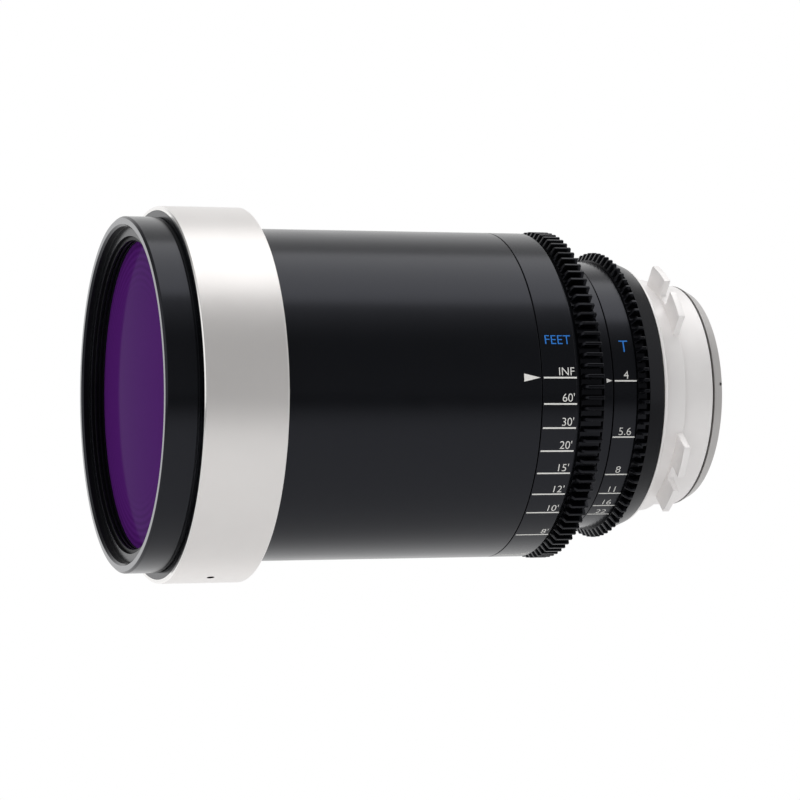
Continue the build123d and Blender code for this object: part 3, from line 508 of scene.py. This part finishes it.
front_corners = [
    (front_x, front_r - rim_bevel, 0.08),
    (front_x + rim_bevel, front_r, 0.1),
    (shoulder_x, front_r, 0.2),
    (shoulder_x, front_r - shoulder_drop, 0),
    (land_x, front_r - shoulder_drop, 0),
    (land_x, land_r, 0.06),
    (land_x + shoulder_land, land_r, 0.06),
    (land_x + shoulder_land, groove_r, 0),
    (band_front + lip_play, groove_r, 0),
    (band_front + lip_play, lip_r - lip_play, 0.04),
    (band_front + lip_deep - lip_play, lip_r - lip_play, 0),
    (band_front + lip_deep - lip_play, flange_r, 0),
    (flange_front, flange_r, 0.1),
    (flange_front, spigot_r + play, 0.1),
    (barrel_front, spigot_r + play, 0),
    (barrel_front, seat_bore_r, 0),
    (glass_seat, seat_bore_r, 0),
    (glass_seat, trap_r, 0.04),
    *trap_corners,
    (trap_front, ledge_inner_r + ledge_back, 0),
    (ledge_x + ledge_thick, ledge_inner_r + ledge_back, 0),
    (ledge_x + ledge_round, ledge_inner_r, 0.03),
    (ledge_x, ledge_inner_r, 0.06),
    (ledge_x, bore_mouth_r, 0.03),
    (front_x + mouth_bevel, bore_mouth_r, 0.05),
    (front_x, rim_inner_r, 0.05),
]
front_black = anodised("black_anodised_front", "#050608", "#07080A", 0.2, 1.42)
rim_black = anodised("bright_cut_rim", "#101114", "#16171A", 0.16, 1.8)
rim_coat = rim_black.node_tree.nodes["Principled BSDF"].inputs
rim_coat["Coat Weight"].default_value = 0.6
rim_coat["Coat Roughness"].default_value = 0.12
rim_coat["Coat IOR"].default_value = 1.6
front_ring = turned("front_housing", front_corners)
for finish in (front_black, lacquer_and_shade_black, rim_black):
    front_ring.data.materials.append(finish)
for face in front_ring.data.polygons:
    from_axis = math.hypot(face.center.y, face.center.z) / mm
    if face.center.x / mm < front_x + rim_slack:
        face.material_index = 2
    elif abs(face.center.x / mm - ledge_x) < face_slack or from_axis > bore_mouth_r + mouth_slack:
        face.material_index = 0
    elif from_axis < rim_inner_r:
        face.material_index = 1
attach(front_ring, "lens_body")
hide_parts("front_ring")

# Front glass: a large polished element, cylindrical power behind it and a violet coating on it.
# The coating sends back the violet part of the light, and the faint rings of what lies inside are a painted
# reflection in its colour.
glass_front, glass_rear, glass_r = span("front_element")
glass_bulge = glass_seat - glass_front
clear_r = trap_r + 0.3
glass_rings = 24
glass_steps = 160
glass_points = []
curve_r = (clear_r ** 2 + glass_bulge ** 2) / (2 * glass_bulge)
for step in range(glass_rings + 1):
    radius = clear_r * step / glass_rings
    sag = curve_r - math.sqrt(curve_r ** 2 - radius ** 2)
    glass_points.append((glass_front + sag, radius, 0))
glass_points += [(glass_seat, glass_r, 0.05), (glass_rear, glass_r, 0.05), (glass_rear, 0, 0)]
# Faint lighter rings near the rim, painted into the base colour: painted reflection of the inner rings
# behind the glass.
painted_ring_pitch = 1.6
painted_ring_inner = 0.62
painted_ring_gain = 0.5
front_glass, tree, surface = material("violet_coated_glass", {
    "Metallic": 0.04, "Roughness": 0.08, "IOR": 1.02, "Specular Tint": (0.25, 0.02, 0.4, 1),
})
place = add(tree, "ShaderNodeTexCoord").outputs["Object"]
across_axis = add(tree, "ShaderNodeVectorMath", {0: place, 1: (0, 1, 1)}, operation="MULTIPLY")
off_axis = add(tree, "ShaderNodeVectorMath", {0: across_axis.outputs[0]}, operation="LENGTH")
from_centre = off_axis.outputs["Value"]
painted_ring_fade = add(tree, "ShaderNodeMapRange", {
    "Value": from_centre,
    "From Min": clear_r * painted_ring_inner * mm,
    "From Max": clear_r * mm,
    "To Max": painted_ring_gain,
})
painted_ring_wave = maths(tree, "SINE", maths(tree, "MULTIPLY", from_centre, 2 * math.pi / (painted_ring_pitch * mm)))
painted_rings = maths(tree, "MULTIPLY", painted_ring_wave, painted_ring_fade.outputs["Result"])
painted_ring_share = maths(tree, "ADD", painted_rings, 0.5)
feed(surface, "Base Color", blend(tree, painted_ring_share, shade("#43155C"), shade("#52206F")))
front_element = turned("front_glass_element", glass_points, glass_steps)
front_element.data.materials.append(front_glass)
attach(front_element, "lens_body")
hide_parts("front_element")

# Focus ring: the distance scale, turned and anodised like the barrel, with filled engraving.
# Behind the scale its carrier steps down, and the drive gear is pressed on.
scale_black = anodised("black_anodised_scale", "#040507", "#060709", 0.22, 1.42)
focus_front, focus_rear, focus_r = span("focus_ring")
gear_front, gear_rear, gear_tip_r = span("focus_gear")
carrier_gap = 1.7
scale_rear = gear_front - carrier_gap
carrier_r = 37.0
focus_bore_r = 35.04
nut_recess_r = 36.2
nut_recess_x = focus_rear - 1.9
focus_ring = turned("focus_scale_ring", [
    (focus_front, focus_bore_r, 0.1),
    (focus_front, focus_r, 0.12),
    (scale_rear, focus_r, 0.12),
    (scale_rear, carrier_r, 0),
    (focus_rear, carrier_r, 0.1),
    (focus_rear, nut_recess_r, 0.1),
    (nut_recess_x, nut_recess_r, 0),
    (nut_recess_x, focus_bore_r, 0),
])
focus_ring.data.materials.append(scale_black)
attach(focus_ring, "focus_rings")
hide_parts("focus_ring")


def engraving_paint(name, colour):
    """Enamel rubbed into the engraving. It dries matt and a little uneven."""
    made, tree, surface = material(name, {"Roughness": 0.55})
    level = vary(tree, grain(tree, 0.5, 0.5), 0.9, 1.0)
    tone = add(tree, "ShaderNodeVectorMath", {0: shade(colour)[:3], "Scale": level}, operation="SCALE")
    feed(surface, "Base Color", tone.outputs[0])
    return made


paint_white = engraving_paint("white_engraving_paint", "#E9E8E4")
paint_blue = engraving_paint("blue_engraving_paint", "#2279D2")
paint_depth = 0.05
paint_stand = 0.02
bend_step = 0.4
letter_thin = 0.008
capital_share = 0.73
weld_gap = 0.001


def wrapped(name, flat, radius, x, azimuth, paint):
    """Lays a flat mesh in millimetres (X along the axis, Y up, Z out) on a ring of that radius."""
    work = bmesh.new()
    work.from_mesh(flat)
    bmesh.ops.remove_doubles(work, verts=work.verts, dist=weld_gap)
    lowest = min(v.co.y for v in work.verts)
    highest = max(v.co.y for v in work.verts)
    for slice_place in range(1, math.ceil((highest - lowest) / bend_step)):
        whole = work.verts[:] + work.edges[:] + work.faces[:]
        bmesh.ops.bisect_plane(work, geom=whole, plane_co=(0, lowest + slice_place * bend_step, 0),
                               plane_no=(0, 1, 0))
    for vert in work.verts:
        angle = azimuth + vert.co.y / radius
        out = radius + vert.co.z
        vert.co = Vector(((x + vert.co.x) * mm, -out * math.cos(angle) * mm, out * math.sin(angle) * mm))
    bmesh.ops.recalc_face_normals(work, faces=work.faces)
    mesh = bpy.data.meshes.new(name)
    work.to_mesh(mesh)
    work.free()
    made = plain_object(name, mesh)
    mesh.materials.append(paint)
    return made


def lettering(name, words, tall, radius, x, azimuth, paint, side="RIGHT", narrow=1.0):
    """Generic words or numbers, engraved and filled, with their lower edge at that azimuth."""
    font = bpy.data.curves.new(name, "FONT")
    font.body = words
    font.align_x = side
    font.size = tall / capital_share
    font.offset = -letter_thin * font.size
    font.extrude = (paint_depth + paint_stand) / 2
    writer = bpy.data.objects.new(name, font)
    bpy.context.scene.collection.objects.link(writer)
    ready = writer.evaluated_get(bpy.context.evaluated_depsgraph_get())
    flat = bpy.data.meshes.new_from_object(ready)
    bpy.data.objects.remove(writer)
    bpy.data.curves.remove(font)
    flat.transform(Matrix.Diagonal((narrow, 1, 1, 1)))
    flat.transform(Matrix.Translation((0, 0, (paint_stand - paint_depth) / 2)))
    return wrapped(name, flat, radius, x, azimuth, paint)


def stroke(name, outline, radius, x, azimuth, paint):
    """A filled line or triangle from its flat outline in millimetres."""
    work = bmesh.new()
    low = [work.verts.new((px, py, -paint_depth)) for px, py in outline]
    high = [work.verts.new((px, py, paint_stand)) for px, py in outline]
    work.faces.new(low)
    work.faces.new(high)
    for place in range(len(outline)):
        follow = (place + 1) % len(outline)
        work.faces.new((low[place], low[follow], high[follow], high[place]))
    flat = bpy.data.meshes.new("flat")
    work.to_mesh(flat)
    work.free()
    return wrapped(name, flat, radius, x, azimuth, paint)


def joined(name, pieces):
    """Several pieces with one material as one piece."""
    work = bmesh.new()
    paint = pieces[0].data.materials[0]
    for piece in pieces:
        work.from_mesh(piece.data)
        bpy.data.objects.remove(piece)
    mesh = bpy.data.meshes.new(name)
    work.to_mesh(mesh)
    work.free()
    mesh.materials.append(paint)
    return plain_object(name, mesh)


def scale_marks(name, table, radius, front, rear, thick, tall, number_x, lift, side, narrow=1.0):
    """A scale's lines with a number over each. The table gives each number and its angle in degrees."""
    long = rear - front
    line = [(0, -thick / 2), (long, -thick / 2), (long, thick / 2), (0, thick / 2)]
    marks = []
    for words, turn_down in table:
        azimuth = -math.radians(turn_down)
        marks.append(stroke("line", line, radius, front, azimuth, paint_white))
        base = azimuth + lift / radius
        marks.append(lettering("number", words, tall, radius, number_x, base, paint_white, side, narrow))
    return joined(name, marks)


line_front = focus_front + 0.3
line_thick = 0.37
number_tall = 2.0
number_rear = scale_rear - 0.45
number_lift = line_thick / 2 + 0.35
distances = (("INF", 0), ("60'", 8.9), ("30'", 17.1), ("20'", 25.2), ("15'", 33.5), ("12'", 42.0),
             ("10'", 50.5), ("8'", 63.2), ("6'", 83.7), ("5'", 100.4), ("4'6\"", 111.5),
             ("4'", 125.5), ("3'6\"", 143.4))
focus_marks = scale_marks("focus_scale_marks", distances, focus_r, line_front, scale_rear, line_thick,
                          number_tall, number_rear, number_lift, "RIGHT")
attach(focus_marks, "focus_rings")
unit_tall = 2.35
unit_azimuth = math.radians(11.6)
unit_x = (focus_front + scale_rear) / 2 + 0.13
focus_unit = lettering("focus_unit_word", "FEET", unit_tall, focus_r, unit_x, unit_azimuth, paint_blue,
                       side="CENTER")
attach(focus_unit, "focus_rings")

# Drive gears: 0.8 module rims, one tooth cut after the other, with bevelled front ends.
# Each is modelled as one tooth's sector, repeated round the axis and welded.
tooth_top = 0.6
tooth_foot = 1.35
tooth_tall = 1.8
tooth_bevel = 1.0
tooth_edge = 0.07
tooth_weld = 0.0005
gear_black = anodised("black_anodised_gear", "#020203", "#040405", 0.24, 1.33, blast=0.5)


def tooth_sector(front, rear, tip_r, bore_r, teeth):
    """One tooth with its share of the rim, open where it meets the next one."""
    root_r = tip_r - tooth_tall
    half = math.pi / teeth
    foot = tooth_foot / 2 / root_r
    top = tooth_top / 2 / tip_r
    edge = tooth_edge / tip_r
    slant = (foot - top) * tooth_edge / tooth_tall
    lift = {"root": 0, "shoulder": 1 - tooth_edge / tooth_tall, "top": 1}
    side = top + edge / 2 + slant
    section = [(-half, "root"), (-foot, "root"), (-side, "shoulder"), (-top + edge, "top"),
               (top - edge, "top"), (side, "shoulder"), (foot, "root"), (half, "root")]
    stations = [(front, 0.0), (front + tooth_bevel, 1.0 - tooth_edge / tooth_tall),
                (front + tooth_bevel + tooth_edge, 1.0), (rear - tooth_edge, 1.0),
                (rear, 1.0 - tooth_edge / tooth_tall)]
    work = bmesh.new()

    def corner(x, radius, angle):
        return work.verts.new((x * mm, -radius * math.cos(angle) * mm, radius * math.sin(angle) * mm))

    rows = []
    for x, share in stations:
        rows.append([
            corner(x, root_r + tooth_tall * min(lift[level], share), angle) for angle, level in section
        ])
    front_bore, rear_bore = [[corner(x, bore_r, angle) for angle, _ in section] for x in (front, rear)]
    strips = [*zip(rows, rows[1:]), (rear_bore, front_bore), (rows[-1], rear_bore), (front_bore, rows[0])]
    for first, second in strips:
        for place in range(len(section) - 1):
            work.faces.new((first[place], second[place], second[place + 1], first[place + 1]))
    bmesh.ops.remove_doubles(work, verts=work.verts, dist=tooth_weld * mm)
    mesh = bpy.data.meshes.new("tooth")
    work.to_mesh(mesh)
    work.free()
    return mesh


def around_axis(name, unit, count, metal, start=0.0, smooth_angle=28):
    """Repeats a unit mesh evenly round the optical axis and welds the copies to one plain mesh."""
    tree = bpy.data.node_groups.new("around_axis", "GeometryNodeTree")
    tree.interface.new_socket("Geometry", in_out="INPUT", socket_type="NodeSocketGeometry")
    tree.interface.new_socket("Geometry", in_out="OUTPUT", socket_type="NodeSocketGeometry")
    sockets = {
        "Count": tree.interface.new_socket("Count", in_out="INPUT", socket_type="NodeSocketInt"),
        "Start": tree.interface.new_socket("Start", in_out="INPUT", socket_type="NodeSocketFloat"),
        "Weld": tree.interface.new_socket("Weld", in_out="INPUT", socket_type="NodeSocketFloat"),
    }
    given = add(tree, "NodeGroupInput").outputs
    points = add(tree, "GeometryNodePoints", {"Count": given["Count"]})
    step = maths(tree, "DIVIDE", 2 * math.pi, given["Count"])
    order = add(tree, "GeometryNodeInputIndex")
    angle = maths(tree, "ADD", maths(tree, "MULTIPLY", order.outputs[0], step), given["Start"])
    turn = add(tree, "ShaderNodeCombineXYZ", {"X": angle})
    copies = add(tree, "GeometryNodeInstanceOnPoints",
                 {"Points": points.outputs[0], "Instance": given["Geometry"], "Rotation": turn.outputs[0]})
    real = add(tree, "GeometryNodeRealizeInstances", {"Geometry": copies.outputs[0]})
    weld = add(tree, "GeometryNodeMergeByDistance",
               {"Geometry": real.outputs[0], "Distance": given["Weld"]})
    coated = add(tree, "GeometryNodeSetMaterial", {"Geometry": weld.outputs[0], "Material": metal})
    add(tree, "NodeGroupOutput", {"Geometry": coated.outputs[0]})
    made = bpy.data.objects.new(name, unit)
    bpy.context.scene.collection.objects.link(made)
    repeat = made.modifiers.new("around_axis", "NODES")
    repeat.node_group = tree
    repeat[sockets["Count"].identifier] = count
    repeat[sockets["Start"].identifier] = start
    repeat[sockets["Weld"].identifier] = weld_gap * mm
    settle(made, smooth_angle)
    work = bmesh.new()
    work.from_mesh(made.data)
    bmesh.ops.recalc_face_normals(work, faces=work.faces)
    work.to_mesh(made.data)
    work.free()
    return made


focus_teeth = 97
focus_tooth_turn = math.radians(-0.65)
focus_gear = around_axis(
    "focus_drive_gear", tooth_sector(gear_front, gear_rear, gear_tip_r, carrier_r + play, focus_teeth),
    focus_teeth, gear_black, focus_tooth_turn)
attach(focus_gear, "focus_rings")
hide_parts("focus_gear")

# Index band: a narrow fixed ring between the two drives, with the aperture's index on it.
# The distance index is on the barrel, a larger white triangle.
index_front, index_rear, index_r = span("index_band")
index_neck_r = index_r - 1.8
index_neck_rear = index_front + 2.4
index_seam_x = index_rear - 0.15
index_seam_r = index_r - 1.0
housing_bore_r = 29.94
index_band = turned("fixed_index_band", [
    (index_front, housing_bore_r, 0),
    (index_front, index_neck_r, 0.1),
    (index_neck_rear, index_neck_r, 0),
    (index_neck_rear, index_r, 0.12),
    (index_seam_x, index_r, 0.08),
    (index_seam_x, index_seam_r, 0),
    (index_rear, index_seam_r, 0),
    (index_rear, housing_bore_r, 0),
])
index_band.data.materials.append(barrel_black)
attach(index_band, "lens_body")
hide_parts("index_band")
focus_index_long = 4.05
focus_index_half = 0.94
focus_index_x = barrel_rear - 0.25
iris_index_long = 1.45
iris_index_half = 0.52
iris_index_x = index_rear - 0.3


def index_mark(name, long, half, radius, x):
    """A white triangle that points at the scale behind it."""
    return stroke(name, [(-long, -half), (0, 0), (-long, half)], radius, x, 0, paint_white)


focus_index = index_mark("focus_index_triangle", focus_index_long, focus_index_half, barrel_r,
                         focus_index_x)
iris_index = index_mark("iris_index_triangle", iris_index_long, iris_index_half, index_r, iris_index_x)
for triangle in (focus_index, iris_index):
    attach(triangle, "lens_body")

# Iris ring: the T scale, anodised black, with its own drive gear behind the figures.
# Both turn together on the rear housing.
iris_front, iris_rear, iris_r = span("iris_ring")
iris_gear_front, iris_gear_rear, iris_tip_r = span("iris_gear")
iris_carrier_r = 31.46
iris_bore_r = 29.96
iris_ring = turned("iris_scale_ring", [
    (iris_front, iris_bore_r, 0),
    (iris_front, iris_r, 0.12),
    (iris_gear_front, iris_r, 0.1),
    (iris_gear_front, iris_carrier_r, 0),
    (iris_rear, iris_carrier_r, 0.1),
    (iris_rear, iris_bore_r, 0),
])
iris_ring.data.materials.append(scale_black)
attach(iris_ring, "iris_rings")
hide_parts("iris_ring")
stop_line_front = iris_front + 0.2
stop_line_rear = iris_gear_front - 0.15
stop_line_thick = 0.34
stop_tall = 1.95
stop_x = iris_gear_front - 2.75
stop_lift = 0.5
stop_wide = 1.05
stops = (("4", 0), ("5.6", 23.6), ("8", 41.2), ("11", 51.9), ("16", 60.2), ("22", 67.4))
iris_marks = scale_marks("iris_scale_marks", stops, iris_r, stop_line_front, stop_line_rear,
                         stop_line_thick, stop_tall, stop_x, stop_lift, "CENTER", stop_wide)
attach(iris_marks, "iris_rings")
letter_tall = 3.1
letter_x = iris_gear_front - 2.7
letter_azimuth = math.radians(12.3)
letter_narrow = 0.93
iris_unit = lettering("iris_unit_letter", "T", letter_tall, iris_r, letter_x, letter_azimuth, paint_blue,
                      "CENTER", letter_narrow)
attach(iris_unit, "iris_rings")
iris_teeth = 85
iris_gear = around_axis(
    "iris_drive_gear",
    tooth_sector(iris_gear_front, iris_gear_rear, iris_tip_r, iris_carrier_r + play, iris_teeth),
    iris_teeth, gear_black)
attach(iris_gear, "iris_rings")
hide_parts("iris_gear")

# Rear cone: a black anodised collar that tapers from the iris gear down to the mount.
# It is slid over the housing and clamped by the mount's base.
cone_front, cone_rear, cone_r = span("rear_cone")
mount_base_r = 31.5
cone_step = 0.3
cone_seam = 0.35
cone_seam_r = cone_r - 1.0
cone_black = anodised("black_anodised_cone", "#020203", "#040405", 0.26, 1.27)
rear_cone = turned("rear_cone_collar", [
    (cone_front, housing_bore_r, 0),
    (cone_front, cone_seam_r, 0),
    (cone_front + cone_seam, cone_seam_r, 0),
    (cone_front + cone_seam, cone_r, 0.1),
    (cone_rear, mount_base_r + cone_step, 0.1),
    (cone_rear, housing_bore_r, 0),
])
rear_cone.data.materials.append(cone_black)
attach(rear_cone, "lens_body")
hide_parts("rear_cone")

# Camera mount: turned from stainless steel, with four lobes that a camera's locking ring
# pulls against. Each lobe has a notch in its middle, and the seat faces the camera. The groove
# behind the base is painted black inside: painted shade where the base meets the barrel.
mount_front, mount_rear, _ = span("camera_mount")
barrel_out_r = 27.0
fore_r = 28.4
base_edge = 0.5
base_thick = 1.0
base_slant = 0.6
base_rear = mount_front + base_thick
groove_floor_r = fore_r - 1.2
groove_rear = mount_front + 2.05
light_path_r = 19.8
floor_rear = mount_front + 2.4
rear_bore_r = 24.6
recess_r = 25.2
recess_x = mount_rear - 2.6
groove_slack = 0.1
lobe_r = 33.7
lobe_thick = 1.6
lobe_half = 10.05
lobe_root = 0.5
lobe_edge = 0.14
lobe_edge_steps = 3
lobe_sharp = math.radians(35)
lobe_arc_steps = 10
notch_half = 2.05
notch_floor_r = 29.3
notch_corner = 0.5
mount_steel, tree, surface = material("fine_turned_stainless_steel", {"Metallic": 0.45})
lathe_lines = grain(tree, 0.18, 20, 3.0)
feed(surface, "Base Color", blend(tree, grain(tree, 8, 8), shade("#F2EFEE"), shade("#FAF8F7")))
feed(surface, "Roughness", vary(tree, lathe_lines, 0.5, 0.58))
relief(surface, lathe_lines, 0.1)
mount_body = turned("mount_barrel_and_base", [
    (mount_front, light_path_r, 0),
    (mount_front, mount_base_r, 0.12),
    (mount_front + base_edge, mount_base_r, 0.08),
    (base_rear, mount_base_r - base_slant, 0),
    (base_rear, groove_floor_r, 0),
    (groove_rear, groove_floor_r, 0),
    (groove_rear, fore_r, 0.08),
    (0, fore_r, 0.12),
    (0, barrel_out_r, 0),
    (mount_rear, barrel_out_r, 0.25),
    (mount_rear, recess_r, 0.1),
    (recess_x, recess_r, 0),
    (recess_x, rear_bore_r, 0),
    (floor_rear, rear_bore_r, 0),
    (floor_rear, light_path_r, 0.1),
])
for finish in (mount_steel, lacquer_and_shade_black):
    mount_body.data.materials.append(finish)
# Painted shade: the groove's floor and rear wall take the black, to darken the line behind the base.
for face in mount_body.data.polygons:
    from_axis = math.hypot(face.center.y, face.center.z) / mm
    in_painted_shade_groove = base_rear - face_slack < face.center.x / mm < groove_rear + face_slack / 2
    if in_painted_shade_groove and groove_floor_r - groove_slack < from_axis < fore_r - groove_slack:
        face.material_index = 1
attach(mount_body, "lens_body")
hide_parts("camera_mount")


def lobe_plate():
    """One lobe as a flat plate in millimetres, thick along the axis, round outside, with its notch."""
    outline = []
    inner = barrel_out_r + lobe_root
    outline.append((-lobe_half, math.sqrt(inner ** 2 - lobe_half ** 2)))
    for step in range(lobe_arc_steps + 1):
        side = -lobe_half + (lobe_half - notch_half) * step / lobe_arc_steps
        outline.append((side, math.sqrt(lobe_r ** 2 - side ** 2)))
    outline.append((-notch_half, notch_floor_r + notch_corner))
    outline.append((-notch_half + notch_corner, notch_floor_r))
    outline += [(-side, radius) for side, radius in reversed(outline)]
    for step in range(1, lobe_arc_steps):
        side = lobe_half - 2 * lobe_half * step / lobe_arc_steps
        outline.append((side, math.sqrt(inner ** 2 - side ** 2)))
    work = bmesh.new()
    near = [work.verts.new((-lobe_thick * mm, side * mm, radius * mm)) for side, radius in outline]
    far = [work.verts.new((0, side * mm, radius * mm)) for side, radius in outline]
    work.faces.new(near)
    work.faces.new(far)
    for place in range(len(outline)):
        follow = (place + 1) % len(outline)
        work.faces.new((near[place], near[follow], far[follow], far[place]))
    bmesh.ops.recalc_face_normals(work, faces=work.faces)
    corners = [e for e in work.edges if e.calc_face_angle(0) > lobe_sharp]
    bmesh.ops.bevel(work, geom=corners, offset=lobe_edge * mm, segments=lobe_edge_steps, profile=0.5,
                    affect="EDGES")
    mesh = bpy.data.meshes.new("lobe")
    work.to_mesh(mesh)
    work.free()
    return mesh


lobe_count = 4
lobe_turn = math.radians(45)
lobes = around_axis("mount_lobes", lobe_plate(), lobe_count, mount_steel, lobe_turn)
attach(lobes, "lens_body")
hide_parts("camera_mount")

# End ring: satin aluminium, tapered, screwed into the mount's rear edge over a thin baffle.
# Two tiny holes take the pin spanner that turns it.
trim_front, trim_rear, _ = span("rear_trim_ring")
trim_open = mount_rear + 0.5
trim_end_r = barrel_out_r - 1.4
trim_bore_r = 20.5
trim_spigot_r = recess_r - play
pin_hole_r = 0.4
pin_hole_deep = 0.8
pin_hole_top_r = 28
pin_hole_place = 0.8
trim_ring = turned("rear_end_ring", [
    (trim_front, trim_bore_r, 0),
    (trim_front, trim_spigot_r, 0),
    (trim_open, trim_spigot_r, 0),
    (trim_open, barrel_out_r, 0.15),
    (trim_rear, trim_end_r, 0.25),
    (trim_rear, trim_bore_r, 0.25),
])
pin_hole_x = trim_open + (trim_rear - trim_open) * pin_hole_place
cut_holes(trim_ring, [
    (pin_hole_x, azimuth, pin_hole_r, trim_end_r - pin_hole_deep, pin_hole_top_r)
    for azimuth in (0, math.pi)
])
trim_silver = band_silver.copy()
trim_silver.name = "satin_aluminium_trim"
for node in trim_silver.node_tree.nodes:
    if node.type == "MIX":
        node.inputs[6].default_value = shade("#C0BEBD")
        node.inputs[7].default_value = shade("#C8C6C4")
trim_ring.data.materials.append(trim_silver)
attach(trim_ring, "lens_body")
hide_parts("rear_trim_ring")

# Inner pieces: cells, spacers, guide tube, pins and glasses keep their frame shapes.
# They are matt black, grey alloy, steel or brass, as such pieces are.
inner_finishes = {
    "cell_black": anodised("matt_black_cells", "#050506", "#090909", 0.6, 1.4),
    "guide_alloy": anodised("grey_anodised_guide", "#5A5B5E", "#66676A", 0.4, 1.5),
    "pin_steel": anodised("blackened_steel_pins", "#202124", "#2C2D30", 0.35, 1.6),
    "follower_brass": anodised("turned_brass", "#A88845", "#B8984F", 0.3, 1.6),
    "shim_brass": anodised("rolled_brass", "#A88845", "#B8984F", 0.3, 1.6),
    "iris_black": anodised("blackened_iris_leaves", "#0A0A0B", "#101012", 0.5, 1.4),
    "inner_glass": anodised("coated_inner_glass", "#0B1210", "#0E1513", 0.05, 1.6, bump=0.0),
}
for node in frame["nodes"].values():
    if node.hide_render:
        continue
    for place in node.material_slots:
        finish = inner_finishes.get(place.material.name.split(".")[0])
        if finish:
            place.material = finish
        else:
            print("no finish for", node.name, place.material.name)
